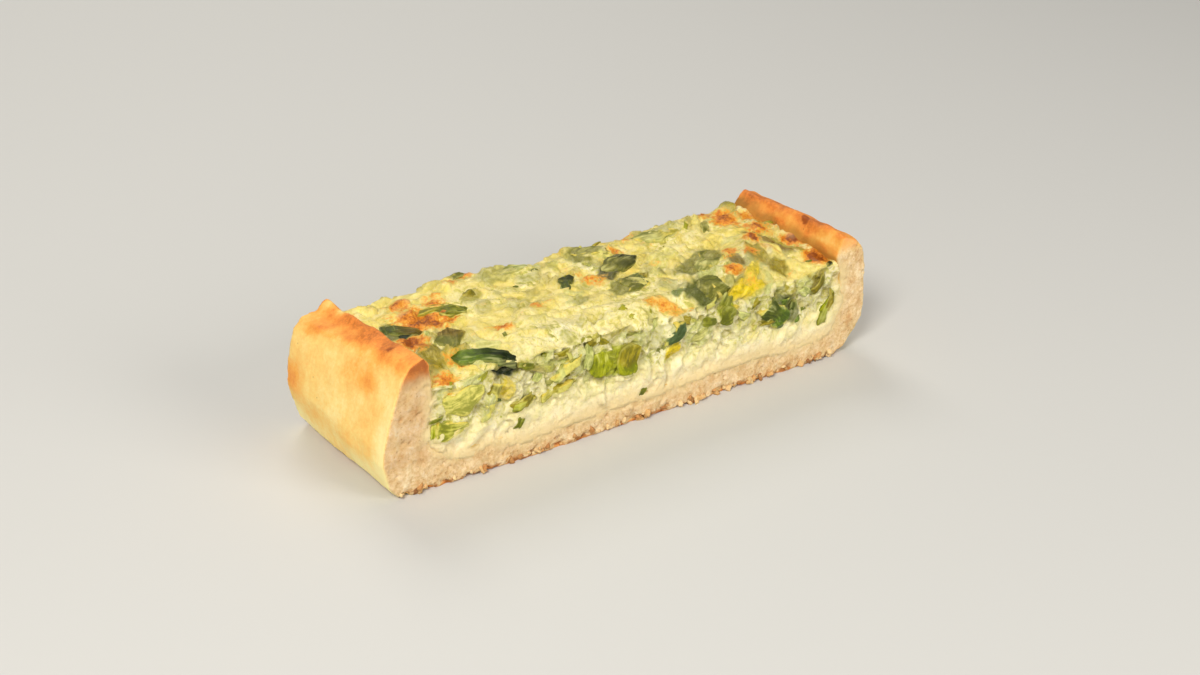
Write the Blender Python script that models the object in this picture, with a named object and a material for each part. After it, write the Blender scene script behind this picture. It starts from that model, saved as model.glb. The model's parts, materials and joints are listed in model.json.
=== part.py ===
"""A bar of leek quiche: pastry folded up at both ends, savoury custard and leek, cut open front and back.

The origin is under the middle of the bar, on the surface it rests on. +X runs along the bar, -Y faces
the front cut and +Z is up. Metres.
"""

import math
from collections import namedtuple

import bmesh
import bpy
from mathutils import Vector, noise

MM = 0.001

# Driving dimensions
CUT_DEPTH = 35.0 * MM  # front cut to back cut
FLOOR_THICKNESS = 6.6 * MM
FILLING_TOP = 24.2 * MM  # mean level of the baked top
FIT_GAP = 0.3 * MM  # between pieces that lie against each other

# How finely the strip of dough and the block of custard are divided
WALL_STEPS = 15
FLOOR_STEPS = 20
DOUGH_LAYERS = 3
DEPTH_STEPS = 14
FILLING_STEPS = (40, 14, 8)
LEEK_STEPS = (4, 2, 1)

# Corners of each end wall in millimetres, (x, z, rounding radius), from the floor up to the crest.
# A wall's shape runs smoothly from its front corners to its back corners.
# fmt: off
WALLS = {
    "left_outer": {
        "front": (
            (-46, 0, 0), (-59.4, 0.2, 3.2), (-62.0, 9.5, 9), (-60.2, 18.5, 9),
            (-57.6, 27.6, 3.5), (-55.4, 29.4, 1.5), (-53.6, 29.5, 0),
        ),
        "back": (
            (-46, 0, 0), (-59.8, 0.2, 3.2), (-63.6, 11.0, 9), (-62.2, 19.5, 8),
            (-60.8, 25.2, 2.5), (-56.4, 25.0, 1.5), (-54.6, 27.2, 0),
        ),
    },
    "left_inner": {
        "front": (
            (-44, 6.6, 0), (-51.6, 9.6, 4), (-51.8, 14.0, 6),
            (-50.8, 20.0, 8), (-51.6, 26.0, 4), (-52.6, 28.8, 0),
        ),
        "back": (
            (-44, 6.6, 0), (-52.4, 8.8, 4), (-52.8, 13.0, 6),
            (-51.6, 19.0, 8), (-51.0, 23.4, 4), (-53.2, 26.6, 0),
        ),
    },
    "right_outer": {
        "front": (
            (46, 0, 0), (57.8, 0.2, 3.5), (64.0, 8.2, 6),
            (62.2, 21.0, 20), (60.2, 27.6, 4.5), (55.6, 29.6, 0),
        ),
        "back": (
            (46, 0, 0), (57.8, 0.2, 3.5), (63.8, 9.0, 7),
            (62.2, 20.0, 18), (60.8, 25.8, 4.0), (56.6, 27.2, 0),
        ),
    },
    "right_inner": {
        "front": (
            (44, 6.6, 0), (53.6, 7.2, 4), (55.8, 13.0, 6),
            (54.6, 21.0, 6), (52.8, 25.0, 3), (54.2, 29.0, 0),
        ),
        "back": (
            (44, 6.6, 0), (53.8, 7.2, 4), (55.4, 13.0, 6),
            (54.2, 19.0, 6), (51.8, 23.2, 3), (54.8, 26.8, 0),
        ),
    },
}
# fmt: on
FLOOR_SWELLS = ((-38, 1.2, 5), (-29, -1.0, 6), (22, 1.0, 8), (33, 0.9, 6))  # x, height, reach in mm

# Humps and dips of the baked top in millimetres: x, y, height, reach
TOP_SWELLS = (
    (-48.2, 15.5, 1.4, 2.4), (-26, 15, 1.7, 7), (-14, 17, 0.8, 3), (-3, 17, -0.8, 4), (5, 17, 1.4, 3.5),
    (12, 17, -0.7, 3), (34, 16, 1.4, 6), (42, 17, 0.7, 3), (51, 16, 1.7, 3), (-20, -4, 0.8, 8),
    (1, -14, 0.9, 7), (-48, -8, -1.0, 5), (22, -13, -0.8, 5), (50, -10, -0.6, 4), (47, 4, 1.2, 4),
    (-39, -15, -1.2, 4), (36, -6, 0.7, 6),
)  # fmt: skip

# One piece of leek. face says how it shows: flat on the "top", broad side on the front or back cut,
# or edge on in the front or back cut. along is its x; height is z in a cut, and y on the top.
Leek = namedtuple("Leek", "name face along height length width thick turn bend_radius rise colour")
DARK, GREEN, LIME, PALE = "leek_dark", "leek_green", "leek_lime", "leek_pale"
LEEKS = (
    Leek("leek_top_slab_right", "top", 23.5, -11.5, 12.5, 7.5, 1.9, 24, 26, 0.55, DARK),
    Leek("leek_top_slab_pale", "top", 28.4, -2.6, 10.6, 4.6, 1.6, 30, 30, 0.55, GREEN),
    Leek("leek_top_fold", "top", 10.6, 5.6, 9, 6, 1.8, 38, 24, 0.55, DARK),
    Leek("leek_top_slab_middle", "top", 8.4, -3.4, 8, 5.2, 1.6, 18, 24, 0.55, DARK),
    Leek("leek_top_blade", "top", -34.4, 5.4, 9.6, 3.4, 1.6, -28, 24, 0.55, GREEN),
    Leek("leek_top_triangle", "top", -38.8, -4.6, 6.8, 5.4, 1.7, 40, 24, 0.55, DARK),
    Leek("leek_top_by_rim", "top", -45.4, 3.0, 7.6, 3.4, 1.6, -34, 24, 0.55, DARK),
    Leek("leek_top_back_strip", "top", -10.6, 14.0, 13, 3.2, 1.6, -7, 34, 0.55, DARK),
    Leek("leek_top_back_middle", "top", 7.8, 12.4, 8.6, 3.2, 1.6, -16, 28, 0.55, GREEN),
    Leek("leek_top_back_right", "top", 26.6, 12.8, 11, 4.4, 1.6, 4, 34, 0.55, PALE),
    Leek("leek_top_knot", "top", -4.6, 4.0, 5.4, 3.2, 1.8, 60, 16, 0.55, DARK),
    Leek("leek_edge_leaf", "top", -36.6, -13.4, 12.5, 5, 1.7, -22, 22, 0.9, GREEN),
    Leek("leek_cut_pale_slab", "front", -44.4, 18.0, 8.6, 5.6, 1.8, -6, 30, 0.6, PALE),
    Leek("leek_cut_upright", "edge", -38.0, 15.6, 8.4, 4.6, 1.9, 74, 26, 0.5, PALE),
    Leek("leek_cut_low_left", "front", -46.4, 12.6, 7.2, 4, 1.8, -4, 30, 0.6, LIME),
    Leek("leek_cut_olive_curve", "edge", -30.8, 13.2, 7.8, 4.6, 1.5, 6, 11, 0.5, GREEN),
    Leek("leek_cut_fan", "edge", -19.6, 18.4, 8.6, 5, 1.6, 26, 14, 0.5, GREEN),
    Leek("leek_cut_fan_low", "edge", -20.6, 14.4, 8.4, 4.6, 1.5, 10, 16, 0.5, LIME),
    Leek("leek_cut_block_left", "front", -11.0, 16.8, 5.0, 6.2, 2.2, -2, 24, 0.6, LIME),
    Leek("leek_cut_block_right", "front", -3.9, 15.6, 5.2, 6.4, 2.2, 4, 24, 0.6, LIME),
    Leek("leek_cut_sea_green", "front", 8.6, 18.6, 5.4, 3.4, 1.7, -20, 14, 0.6, DARK),
    Leek("leek_cut_lime_corner", "front", 22.4, 19.2, 4.2, 3.8, 1.8, 10, 22, 0.6, LIME),
    Leek("leek_cut_leaf_right", "front", 36.0, 15.8, 7.6, 5.2, 1.7, 42, 22, 0.6, DARK),
    Leek("leek_cut_crescent", "edge", 51.2, 12.6, 8.2, 4.8, 1.7, 66, 10, 0.5, LIME),
    Leek("leek_back_slab", "back", -30.0, 16.4, 9, 6, 1.9, 8, 26, 0.6, LIME),
    Leek("leek_back_curve", "back_edge", -12.0, 14.0, 9, 4.8, 1.7, 24, 12, 0.5, GREEN),
    Leek("leek_back_dark", "back", 6.0, 17.6, 8, 4.8, 1.8, -14, 22, 0.6, DARK),
    Leek("leek_back_crescent", "back_edge", 40.0, 15.6, 8.4, 4.8, 1.7, 118, 10, 0.5, LIME),
)  # fmt: skip

COLOURS = {
    "crust": ((0.80, 0.50, 0.21, 1), 0.72),
    "filling": ((0.86, 0.78, 0.42, 1), 0.48),
    DARK: ((0.10, 0.20, 0.09, 1), 0.40),
    GREEN: ((0.28, 0.38, 0.10, 1), 0.40),
    LIME: ((0.48, 0.52, 0.10, 1), 0.38),
    PALE: ((0.66, 0.68, 0.34, 1), 0.42),
}


def clear_scene():
    for obj in list(bpy.data.objects):
        bpy.data.objects.remove(obj, do_unlink=True)


def new_collection(name):
    collection = bpy.data.collections.new(name)
    bpy.context.scene.collection.children.link(collection)
    return collection


def food_material(name):
    if name in bpy.data.materials:
        return bpy.data.materials[name]
    colour, roughness = COLOURS[name]
    material = bpy.data.materials.new(name)
    material.use_nodes = True
    shader = material.node_tree.nodes["Principled BSDF"]
    shader.inputs["Base Color"].default_value = colour
    shader.inputs["Roughness"].default_value = roughness
    shader.inputs["Metallic"].default_value = 0.0
    return material


def divided_box(steps):
    """A box whose vertices sit at whole numbers, from the origin to steps, cut along every one of them."""
    mesh = bmesh.new()
    bmesh.ops.create_cube(mesh, size=1.0)
    for vertex in mesh.verts:
        vertex.co = Vector((vertex.co[axis] + 0.5) * steps[axis] for axis in range(3))
    for axis in range(3):
        normal = Vector((axis == 0, axis == 1, axis == 2))
        for step in range(1, steps[axis]):
            everything = mesh.verts[:] + mesh.edges[:] + mesh.faces[:]
            bmesh.ops.bisect_plane(mesh, geom=everything, plane_co=normal * step, plane_no=normal)
    return mesh


def object_from(mesh, name, material, collection):
    """Finishes a bmesh as a named object."""
    data = bpy.data.meshes.new(name)
    mesh.to_mesh(data)
    mesh.free()
    data.materials.append(food_material(material))
    data.shade_smooth()
    obj = bpy.data.objects.new(name, data)
    collection.objects.link(obj)
    return obj


def mix(a, b, share):
    return a + (b - a) * share


def smooth_step(value, low, high):
    share = min(1.0, max(0.0, (value - low) / (high - low)))
    return share * share * (3 - 2 * share)


def swell(distance, reach):
    """A soft hump: 1 in the middle, fading with distance."""
    return math.exp(-((distance / reach) ** 2))


def lumps(point, size, offset=0.0):
    """Smooth noise from -1 to 1 with lumps about size across. offset picks another pattern."""
    return noise.noise(point / size + Vector((offset, 1.7 * offset, -offset)))


def rounded_path(corners, steps):
    """steps + 1 even points on a line through corners (x, z, radius), rounded by arcs."""
    points = [Vector(corners[0][:2])]
    for before, corner, after in zip(corners, corners[1:], corners[2:]):
        here = Vector(corner[:2])
        into = (here - Vector(before[:2])).normalized()
        out = (Vector(after[:2]) - here).normalized()
        turn = into.angle(out)
        room = 0.48 * min((here - Vector(before[:2])).length, (Vector(after[:2]) - here).length)
        tangent = min(corner[2] * math.tan(turn / 2), room)
        start, end = here - into * tangent, here + out * tangent
        arc_points = 6
        for i in range(arc_points + 1):
            share = i / arc_points
            points.append(start.lerp(here, share).lerp(here.lerp(end, share), share))
    points.append(Vector(corners[-1][:2]))
    lengths = [0.0]
    for a, b in zip(points, points[1:]):
        lengths.append(lengths[-1] + (b - a).length)
    path, segment = [], 0
    for i in range(steps + 1):
        target = lengths[-1] * i / steps
        while segment < len(points) - 2 and lengths[segment + 1] < target:
            segment += 1
        run = lengths[segment + 1] - lengths[segment]
        share = (target - lengths[segment]) / run if run else 0
        path.append(points[segment].lerp(points[segment + 1], share))
    return path


def wall_path(wall, y, steps):
    """The side of an end wall at depth y, from the floor up to its crest, in metres."""
    share = smooth_step(y, -CUT_DEPTH / 2, CUT_DEPTH / 2)
    front, back = WALLS[wall]["front"], WALLS[wall]["back"]
    corners = [[mix(f, b, share) * MM for f, b in zip(*pair)] for pair in zip(front, back)]
    return rounded_path(corners, steps)


def floor_top(x, y):
    uneven = 0.35 * lumps(Vector((x, y, 0)), 9 * MM)
    for centre, rise, reach in FLOOR_SWELLS:
        uneven += rise * swell(x - centre * MM, reach * MM)
    return FLOOR_THICKNESS + uneven * MM * (1 - smooth_step(abs(x), 36 * MM, 43 * MM))


def dough_section(y):
    """Outer and inner points of the strip of dough at depth y, from the left crest to the right one."""
    sections = {wall: wall_path(wall, y, WALL_STEPS) for wall in WALLS}
    outer, inner = sections["left_outer"][::-1], sections["left_inner"][::-1]
    for i in range(1, FLOOR_STEPS):
        share = i / FLOOR_STEPS
        outer.append(sections["left_outer"][0].lerp(sections["right_outer"][0], share))
        x = mix(sections["left_inner"][0].x, sections["right_inner"][0].x, share)
        inner.append(Vector((x, floor_top(x, y))))
    return outer + sections["right_outer"], inner + sections["right_inner"]


def cut_relief(x, z, side):
    """How far a cut face stands out at x, z: crumbs and tears of the knife. side is -1 front, 1 back."""
    place = Vector((x, 0, z))
    return 0.55 * MM * lumps(place, 5.5 * MM, 3 + side) + 0.4 * MM * lumps(place, 2.6 * MM, 7 + side)


def make_crust(collection):
    """Pastry: one strip of dough rolled flat and folded up at both ends, with a browned crest on each."""
    along = 2 * WALL_STEPS + FLOOR_STEPS
    dough = divided_box((along, DEPTH_STEPS, DOUGH_LAYERS))
    depths = [mix(-CUT_DEPTH / 2, CUT_DEPTH / 2, j / DEPTH_STEPS) for j in range(DEPTH_STEPS + 1)]
    sections = [dough_section(y) for y in depths]
    for vertex in dough.verts:
        i, j, layer = (round(c) for c in vertex.co)
        outer, inner = sections[j][0][i], sections[j][1][i]
        share = layer / DOUGH_LAYERS
        x, z = outer.lerp(inner, share)
        y = depths[j]
        place = Vector((x, y, z))
        crest = swell(min(i, along - i), 2.0)
        if layer == 0 and z > FIT_GAP:  # the outside, clear of what it rests on
            x += 0.35 * MM * lumps(place, 11 * MM) * smooth_step(z, 0, 4 * MM)
        z += crest * (0.7 * MM * lumps(Vector((x, y, 0)), 6 * MM, 5) + 0.5 * MM * math.sin(math.pi * share))
        if j in (0, DEPTH_STEPS):
            side = -1 if j == 0 else 1
            y += 0.4 * cut_relief(x, z, side)
            if layer == 0 and 0 <= z < FIT_GAP:  # crumbled lower edge of the cut
                z = 0.5 * MM * abs(lumps(Vector((x, y, 0)), 3 * MM, 9))
        vertex.co = (x, y, z)
    return object_from(dough, "crust", "crust", collection)


def top_height(x, y):
    """Level of the baked top of the custard: humps, wrinkles and a worn edge along both cuts."""
    height = FILLING_TOP
    for centre_x, centre_y, rise, reach in TOP_SWELLS:
        distance = math.hypot(x - centre_x * MM, y - centre_y * MM)
        height += rise * MM * swell(distance, reach * MM)
    place = Vector((x, y, 0))
    height += 0.7 * MM * lumps(place, 7 * MM, 2) + 0.45 * MM * lumps(place, 3.4 * MM, 4)
    worn = swell(CUT_DEPTH / 2 - abs(y), 2.2 * MM)
    return height - 0.6 * MM * worn


def inner_wall_x(paths, z):
    """Where an end wall's inner side stands at height z."""
    for lower, upper in zip(paths, paths[1:]):
        if upper.y >= z:
            share = (z - lower.y) / (upper.y - lower.y) if upper.y > lower.y else 0
            return mix(lower.x, upper.x, max(0.0, share))
    return paths[-1].x


def cavity_floor(x, y, wall):
    """Level of the dough under the custard at x, y, also where it starts to climb an end wall."""
    for lower, upper in zip(wall, wall[1:]):
        if min(lower.x, upper.x) <= x <= max(lower.x, upper.x):
            return mix(lower.y, upper.y, (x - lower.x) / (upper.x - lower.x))
    return floor_top(x, y)


def make_filling(collection):
    """Custard set between the walls: an uneven browned top, and crags where the knife tore it."""
    columns, rows, levels = FILLING_STEPS
    custard = divided_box(FILLING_STEPS)
    depths = [mix(-CUT_DEPTH / 2, CUT_DEPTH / 2, j / rows) for j in range(rows + 1)]
    left = [wall_path("left_inner", y, WALL_STEPS) for y in depths]
    right = [wall_path("right_inner", y, WALL_STEPS) for y in depths]
    for vertex in custard.verts:
        i, j, level = (round(c) for c in vertex.co)
        y, up, across = depths[j], level / levels, i / columns
        foot_z = FLOOR_THICKNESS + 1.5 * MM
        foot_left = inner_wall_x(left[j], foot_z) + FIT_GAP
        foot_right = inner_wall_x(right[j], foot_z) - FIT_GAP
        foot_x = mix(foot_left, foot_right, across)
        floor_z = cavity_floor(foot_x, y, left[j] if foot_x < 0 else right[j])
        z = mix(floor_z + FIT_GAP, top_height(foot_x, y), up)
        near = [max(foot_z, z + step * MM) for step in (-1.2, -0.6, 0.0, 0.6, 1.2)]
        low_x = max(inner_wall_x(left[j], wall_z) for wall_z in near) + FIT_GAP
        high_x = min(inner_wall_x(right[j], wall_z) for wall_z in near) - FIT_GAP
        x = mix(low_x, high_x, across)
        if j in (0, rows) and 0 < i < columns:
            side = -1 if j == 0 else 1
            y += side * smooth_step(up, 0, 0.25) * cut_relief(x, z, side)
        vertex.co = (x, y, z)
    return object_from(custard, "filling", "filling", collection)


def leek_mesh(leek, grown):
    """A short length of leek layer: a bent sheet, pinched at its ends. grown widens it all round."""
    strip = divided_box(LEEK_STEPS)
    length, width, thick = ((size * MM + 2 * grown) for size in (leek.length, leek.width, leek.thick))
    radius = leek.bend_radius * MM
    skew = 0.3 * math.sin(leek.along + leek.turn)  # the knife met each piece at its own angle
    for vertex in strip.verts:
        along, across, through = (vertex.co[axis] / LEEK_STEPS[axis] - 0.5 for axis in range(3))
        reach = along * length + across * width * skew
        pinch = 1 - 0.3 * (2 * along) ** 2
        out = radius + through * thick
        angle = reach / radius
        vertex.co = (math.sin(angle) * out, across * width * pinch, math.cos(angle) * out - radius)
    return strip


def leek_place(leek):
    """Location and rotation of a piece of leek: it lies in the surface that it shows in."""
    x, height, turn = leek.along * MM, leek.height * MM, math.radians(leek.turn)
    sunk = (leek.thick / 2 - leek.rise) * MM
    side = 1 if leek.face.startswith("back") else -1
    if leek.face == "top":
        return Vector((x, height, top_height(x, height) - sunk)), (0, 0, turn)
    face_y = side * (CUT_DEPTH / 2 + cut_relief(x, height, side))
    if leek.face.endswith("edge"):
        return Vector((x, face_y - side * (leek.width / 2 - leek.rise) * MM, height)), (0, -turn, 0)
    return Vector((x, face_y - side * sunk, height)), (-side * math.pi / 2, turn, 0)


def make_leek(leek, grown, collection, name):
    obj = object_from(leek_mesh(leek, grown), name, leek.colour, collection)
    obj.location, obj.rotation_euler = leek_place(leek)
    return obj


def cut_pockets(filling, cutters):
    """Takes a pocket for every piece of leek out of the custard, and drops scraps that come loose."""
    for cutter in cutters.objects:
        pocket = filling.modifiers.new(cutter.name, "BOOLEAN")
        pocket.operation = "DIFFERENCE"
        pocket.object = cutter
        pocket.solver = "EXACT"
    bpy.context.view_layer.update()
    evaluated = filling.evaluated_get(bpy.context.evaluated_depsgraph_get())
    data = bpy.data.meshes.new_from_object(evaluated)
    filling.modifiers.clear()
    filling.data = data
    keep_largest_island(data)


def keep_largest_island(data):
    mesh = bmesh.new()
    mesh.from_mesh(data)
    waiting, islands = set(mesh.faces), []
    while waiting:
        island, reached = set(), [next(iter(waiting))]
        while reached:
            face = reached.pop()
            if face not in island:
                island.add(face)
                joined = (edge for edge in face.edges if edge.is_manifold)
                reached.extend(other for edge in joined for other in edge.link_faces)
        waiting -= island
        islands.append(island)
    islands.sort(key=len)
    scraps = [face for island in islands[:-1] for face in island]
    bmesh.ops.delete(mesh, geom=scraps, context="FACES")
    mesh.to_mesh(data)
    mesh.free()


def centre_on_base(objects):
    """Moves the whole bar so that its box is centred on the origin and it rests on z = 0."""
    bpy.context.view_layer.update()
    corners = [obj.matrix_world @ vertex.co for obj in objects for vertex in obj.data.vertices]
    low = Vector(min(c[axis] for c in corners) for axis in range(3))
    high = Vector(max(c[axis] for c in corners) for axis in range(3))
    shift = Vector((-(low.x + high.x) / 2, -(low.y + high.y) / 2, -low.z))
    for obj in objects:
        obj.location += shift


def main():
    clear_scene()
    quiche = new_collection("quiche")
    cutters = new_collection("cutters")
    crust = make_crust(quiche)
    filling = make_filling(quiche)
    pieces = [make_leek(leek, 0.0, quiche, leek.name) for leek in LEEKS]
    for leek in LEEKS:
        cutter = make_leek(leek, FIT_GAP, cutters, "pocket_" + leek.name)
        cutter.hide_render = True
        cutter.display_type = "WIRE"
    cut_pockets(filling, cutters)
    for cutter in list(cutters.objects):
        bpy.data.objects.remove(cutter)
    centre_on_base([crust, filling, *pieces])


main()
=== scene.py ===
"""Dresses a bar of leek quiche: crumbly pastry, curdled custard under a browned skin, and cooked leek.

Everything is in metres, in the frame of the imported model: +X runs along the bar and -Y faces the front cut.
"""

import json
import math
import random
from collections import namedtuple

import bmesh
import bpy
import numpy as np
from bpy.props import FloatProperty, FloatVectorProperty, IntProperty, PointerProperty
from bpy.types import Operator, Panel, PropertyGroup
from mathutils import Matrix, Vector, noise
from mathutils.bvhtree import BVHTree


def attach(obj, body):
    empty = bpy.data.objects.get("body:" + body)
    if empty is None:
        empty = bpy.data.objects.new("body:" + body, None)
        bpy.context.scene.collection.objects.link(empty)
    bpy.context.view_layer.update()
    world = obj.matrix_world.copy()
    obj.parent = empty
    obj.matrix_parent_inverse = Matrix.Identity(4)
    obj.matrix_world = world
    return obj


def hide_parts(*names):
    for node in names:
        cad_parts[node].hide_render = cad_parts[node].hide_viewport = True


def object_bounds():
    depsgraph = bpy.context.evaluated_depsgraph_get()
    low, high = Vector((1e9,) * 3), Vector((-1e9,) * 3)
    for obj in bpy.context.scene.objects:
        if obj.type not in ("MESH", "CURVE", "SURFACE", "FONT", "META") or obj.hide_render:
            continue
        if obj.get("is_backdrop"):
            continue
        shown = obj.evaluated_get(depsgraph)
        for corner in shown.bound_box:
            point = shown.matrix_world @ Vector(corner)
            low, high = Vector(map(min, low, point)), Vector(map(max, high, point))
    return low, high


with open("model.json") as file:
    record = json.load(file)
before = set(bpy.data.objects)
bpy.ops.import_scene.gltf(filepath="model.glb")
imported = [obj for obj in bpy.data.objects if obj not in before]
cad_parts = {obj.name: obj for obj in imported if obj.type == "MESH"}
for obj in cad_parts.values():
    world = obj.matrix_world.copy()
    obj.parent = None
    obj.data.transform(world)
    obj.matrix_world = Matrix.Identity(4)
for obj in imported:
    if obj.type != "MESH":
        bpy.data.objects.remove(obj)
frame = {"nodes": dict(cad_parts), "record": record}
cad_low, cad_high = (Vector(corner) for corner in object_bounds())

bl_info = {
    "name": "Leek quiche slice",
    "version": (1, 0, 0),
    "blender": (4, 5, 0),
    "location": "3D View > Sidebar > Quiche",
    "description": "Pastry, custard and leek for a bar-shaped slice of quiche",
    "category": "Mesh",
}

MM = 0.001
HALF_DEPTH = 17.5  # of the cut faces, in millimetres
FILLING_TOP = 24.2  # mean level of the baked top, in millimetres
NEAR = 4.0  # farthest distance to a neighbour that is measured, in millimetres
VEIN_STEP = 1.7  # keeps the fibres of one leaf apart from those of the next
FIBRE_SQUEEZE = 0.13  # how much slower fibre noise changes along a leaf than across it
LEAF_THICKNESS = 0.42  # of the small loose leaves, in millimetres
FAR = 40  # how far outside the custard a small leaf's place is looked for, in millimetres
TOP_CHANCE, CUT_CHANCE = 170, 190  # strips laid by chance on the top and in each cut
BACK_SHIFT = 4  # moves what the back cut mirrors from the front one, in millimetres
BEND_SEED = 12  # noise_vector gives another pattern each run unless its seed is set
LEEK_NODES = sorted(name for name in frame["nodes"] if name.startswith("leek_"))
SLOT_OF = {part["node"]: part["material_slot"] for part in frame["record"]["subparts"]}


def shade(red, green, blue):
    """A display colour from 0 to 255 as Blender's linear one."""
    return tuple(((c / 255 + 0.055) / 1.055) ** 2.4 if c > 10 else c / 3294.6 for c in (red, green, blue))


# Where the top browned in the oven: x, y, reach in millimetres, strength
BROWNED = (
    (-41.5, 5.0, 3.4, 0.92), (-38.4, 3.2, 2.8, 0.88), (-35.6, 3.0, 1.9, 0.72), (-40.6, 12.2, 2.6, 0.58),
    (-34.6, 9.8, 2.6, 0.6), (-46.4, -3.0, 2.4, 1.3), (-47.4, -16.6, 2.6, 0.55),
    (-42.0, -12.0, 2.6, 0.3), (-28.4, -6.8, 1.5, 0.55), (-16.8, -2.0, 1.8, 0.3), (0.2, 1.6, 2.6, 0.42),
    (4.4, -12.6, 1.7, 0.42), (6.8, -14.2, 1.7, 0.5), (9.2, -15.8, 1.7, 0.6), (11.8, -17.6, 1.8, 0.8),
    (32.2, -5.2, 1.6, 0.36), (29.6, -10.2, 1.9, 0.8), (34.4, -2.6, 1.6, 0.55), (30.5, -14.4, 2.0, 0.28),
    (44.6, 11.4, 3.0, 0.74), (47.4, 3.6, 2.8, 0.72), (43.6, 0.4, 1.4, 0.95), (52.0, -4.0, 2.0, 1.0),
    (51.2, -12.6, 2.3, 1.5), (37.6, -5.6, 1.6, 0.5), (42.5, 16.8, 2.4, 0.6), (50.4, 10.0, 2.4, 0.55),
    (20.0, 15.6, 2.4, 0.42), (-22.0, 16.0, 2.2, 0.3), (-6.0, 17.5, 2.0, 0.35), (13.0, 10.2, 1.6, 0.35),
    (-27.0, 14.6, 2.0, 0.34),
)  # fmt: skip

# Burnt specks on the rims, and the pale flake on the left one: x, y, reach in millimetres, strength
RIM_SPECKS = (
    (55.2, -3.8, 0.55, 1.7), (54.8, -4.6, 0.5, 1.5), (57.6, 8.0, 0.6, 0.4), (-55.6, -9.0, 0.6, 0.5),
)  # fmt: skip
PALE_FLAKE = ((-53.6, 11.4, 1.7, 1.0), (-54.6, 15.6, 2.0, 0.7))

# Darker baked places on the outside of the end walls: side, y, z, reach in millimetres, strength
WALL_SPOTS = (
    (-1, 16.0, 13.0, 3.4, 0.4), (-1, -8.5, 22.0, 2.4, 0.34), (-1, -2.0, 22.0, 3.6, 0.2),
    (-1, 2.0, 3.5, 4.5, 0.14), (-1, 10.0, 5.0, 4.0, 0.2), (-1, -9.0, 14.0, 2.6, 0.12),
    (-1, -4.5, 9.0, 3.0, 0.12), (1, -9.0, 17.0, 4.0, 0.4), (1, 7.0, 14.0, 5.0, 0.35),
    (1, 0.0, 6.0, 4.0, 0.25), (1, 14.0, 20.0, 3.0, 0.3),
)  # fmt: skip

# How far the front edge of the top is worn down in millimetres: x, depth, reach along the edge
WORN_EDGE = (
    (-45, 1.0, 5), (-30, 0.6, 5), (-15, 0.9, 7), (0, 0.7, 5), (9, 1.3, 6), (25, 1.5, 8), (44, 1.3, 7),
)  # fmt: skip

# Tones of cooked leek, and of the custard that holds its juice. The deep tone also paints shade in the cut's
# pits and under the edge leaf
TINT_SHADES = {
    "deep": (28, 42, 4), "dark": (84, 94, 22), "navy": (86, 106, 62), "green": (128, 130, 26),
    "moss": (148, 132, 24), "olive": (160, 146, 28), "lime": (160, 164, 10), "grey": (142, 138, 62),
    "sage": (178, 174, 98), "mint": (198, 200, 122), "pale": (214, 206, 106), "gold": (228, 200, 14),
    "amber": (232, 180, 76), "cream": (242, 232, 182), "straw": (230, 208, 96), "slate": (98, 104, 40),
    "fold": (50, 54, 4), "leaf": (98, 122, 24), "umber": (120, 98, 26), "lime_pale": (178, 176, 56),
}  # fmt: skip
TINTS = {name: np.array(shade(*tone)) for name, tone in TINT_SHADES.items()}

# Pieces that custard hardly covers
BARE_LEEK = (
    "leek_edge_leaf", "leek_top_fold", "leek_top_by_rim", "leek_back_dark", "leek_cut_lime_corner",
    "leek_cut_block_left", "leek_cut_block_right", "leek_top_triangle", "leek_top_slab_right",
    "leek_cut_crescent", "leek_cut_olive_curve",
)  # fmt: skip

# Tones of each piece of leek that is a node of its own, at its left or back end and at its other end
NODE_TINTS = {
    "leek_top_slab_right": ("grey", "slate"), "leek_top_slab_pale": ("sage", "grey"),
    "leek_top_fold": ("grey", "fold"), "leek_top_slab_middle": ("grey", "slate"),
    "leek_top_blade": ("olive", "green"), "leek_top_triangle": ("umber", "grey"),
    "leek_top_by_rim": ("dark", "umber"), "leek_top_back_strip": ("sage", "mint"),
    "leek_top_back_middle": ("sage", "grey"), "leek_top_back_right": ("sage", "straw"),
    # the edge leaf's other end, in the deep tone, is painted shade of its underside
    "leek_top_knot": ("deep", "grey"), "leek_edge_leaf": ("leaf", "deep"),
    "leek_cut_pale_slab": ("pale", "pale"), "leek_cut_upright": ("sage", "moss"),
    "leek_cut_low_left": ("lime_pale", "pale"), "leek_cut_olive_curve": ("lime", "olive"),
    "leek_cut_fan": ("mint", "olive"), "leek_cut_fan_low": ("olive", "moss"),
    "leek_cut_block_left": ("lime", "lime"), "leek_cut_block_right": ("lime", "olive"),
    "leek_cut_sea_green": ("navy", "navy"), "leek_cut_lime_corner": ("green", "green"),
    "leek_cut_leaf_right": ("dark", "leaf"), "leek_cut_crescent": ("green", "lime"),
    "leek_back_slab": ("lime", "lime_pale"), "leek_back_curve": ("olive", "moss"),
    "leek_back_dark": ("leaf", "dark"), "leek_back_crescent": ("lime", "olive"),
}  # fmt: skip

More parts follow.
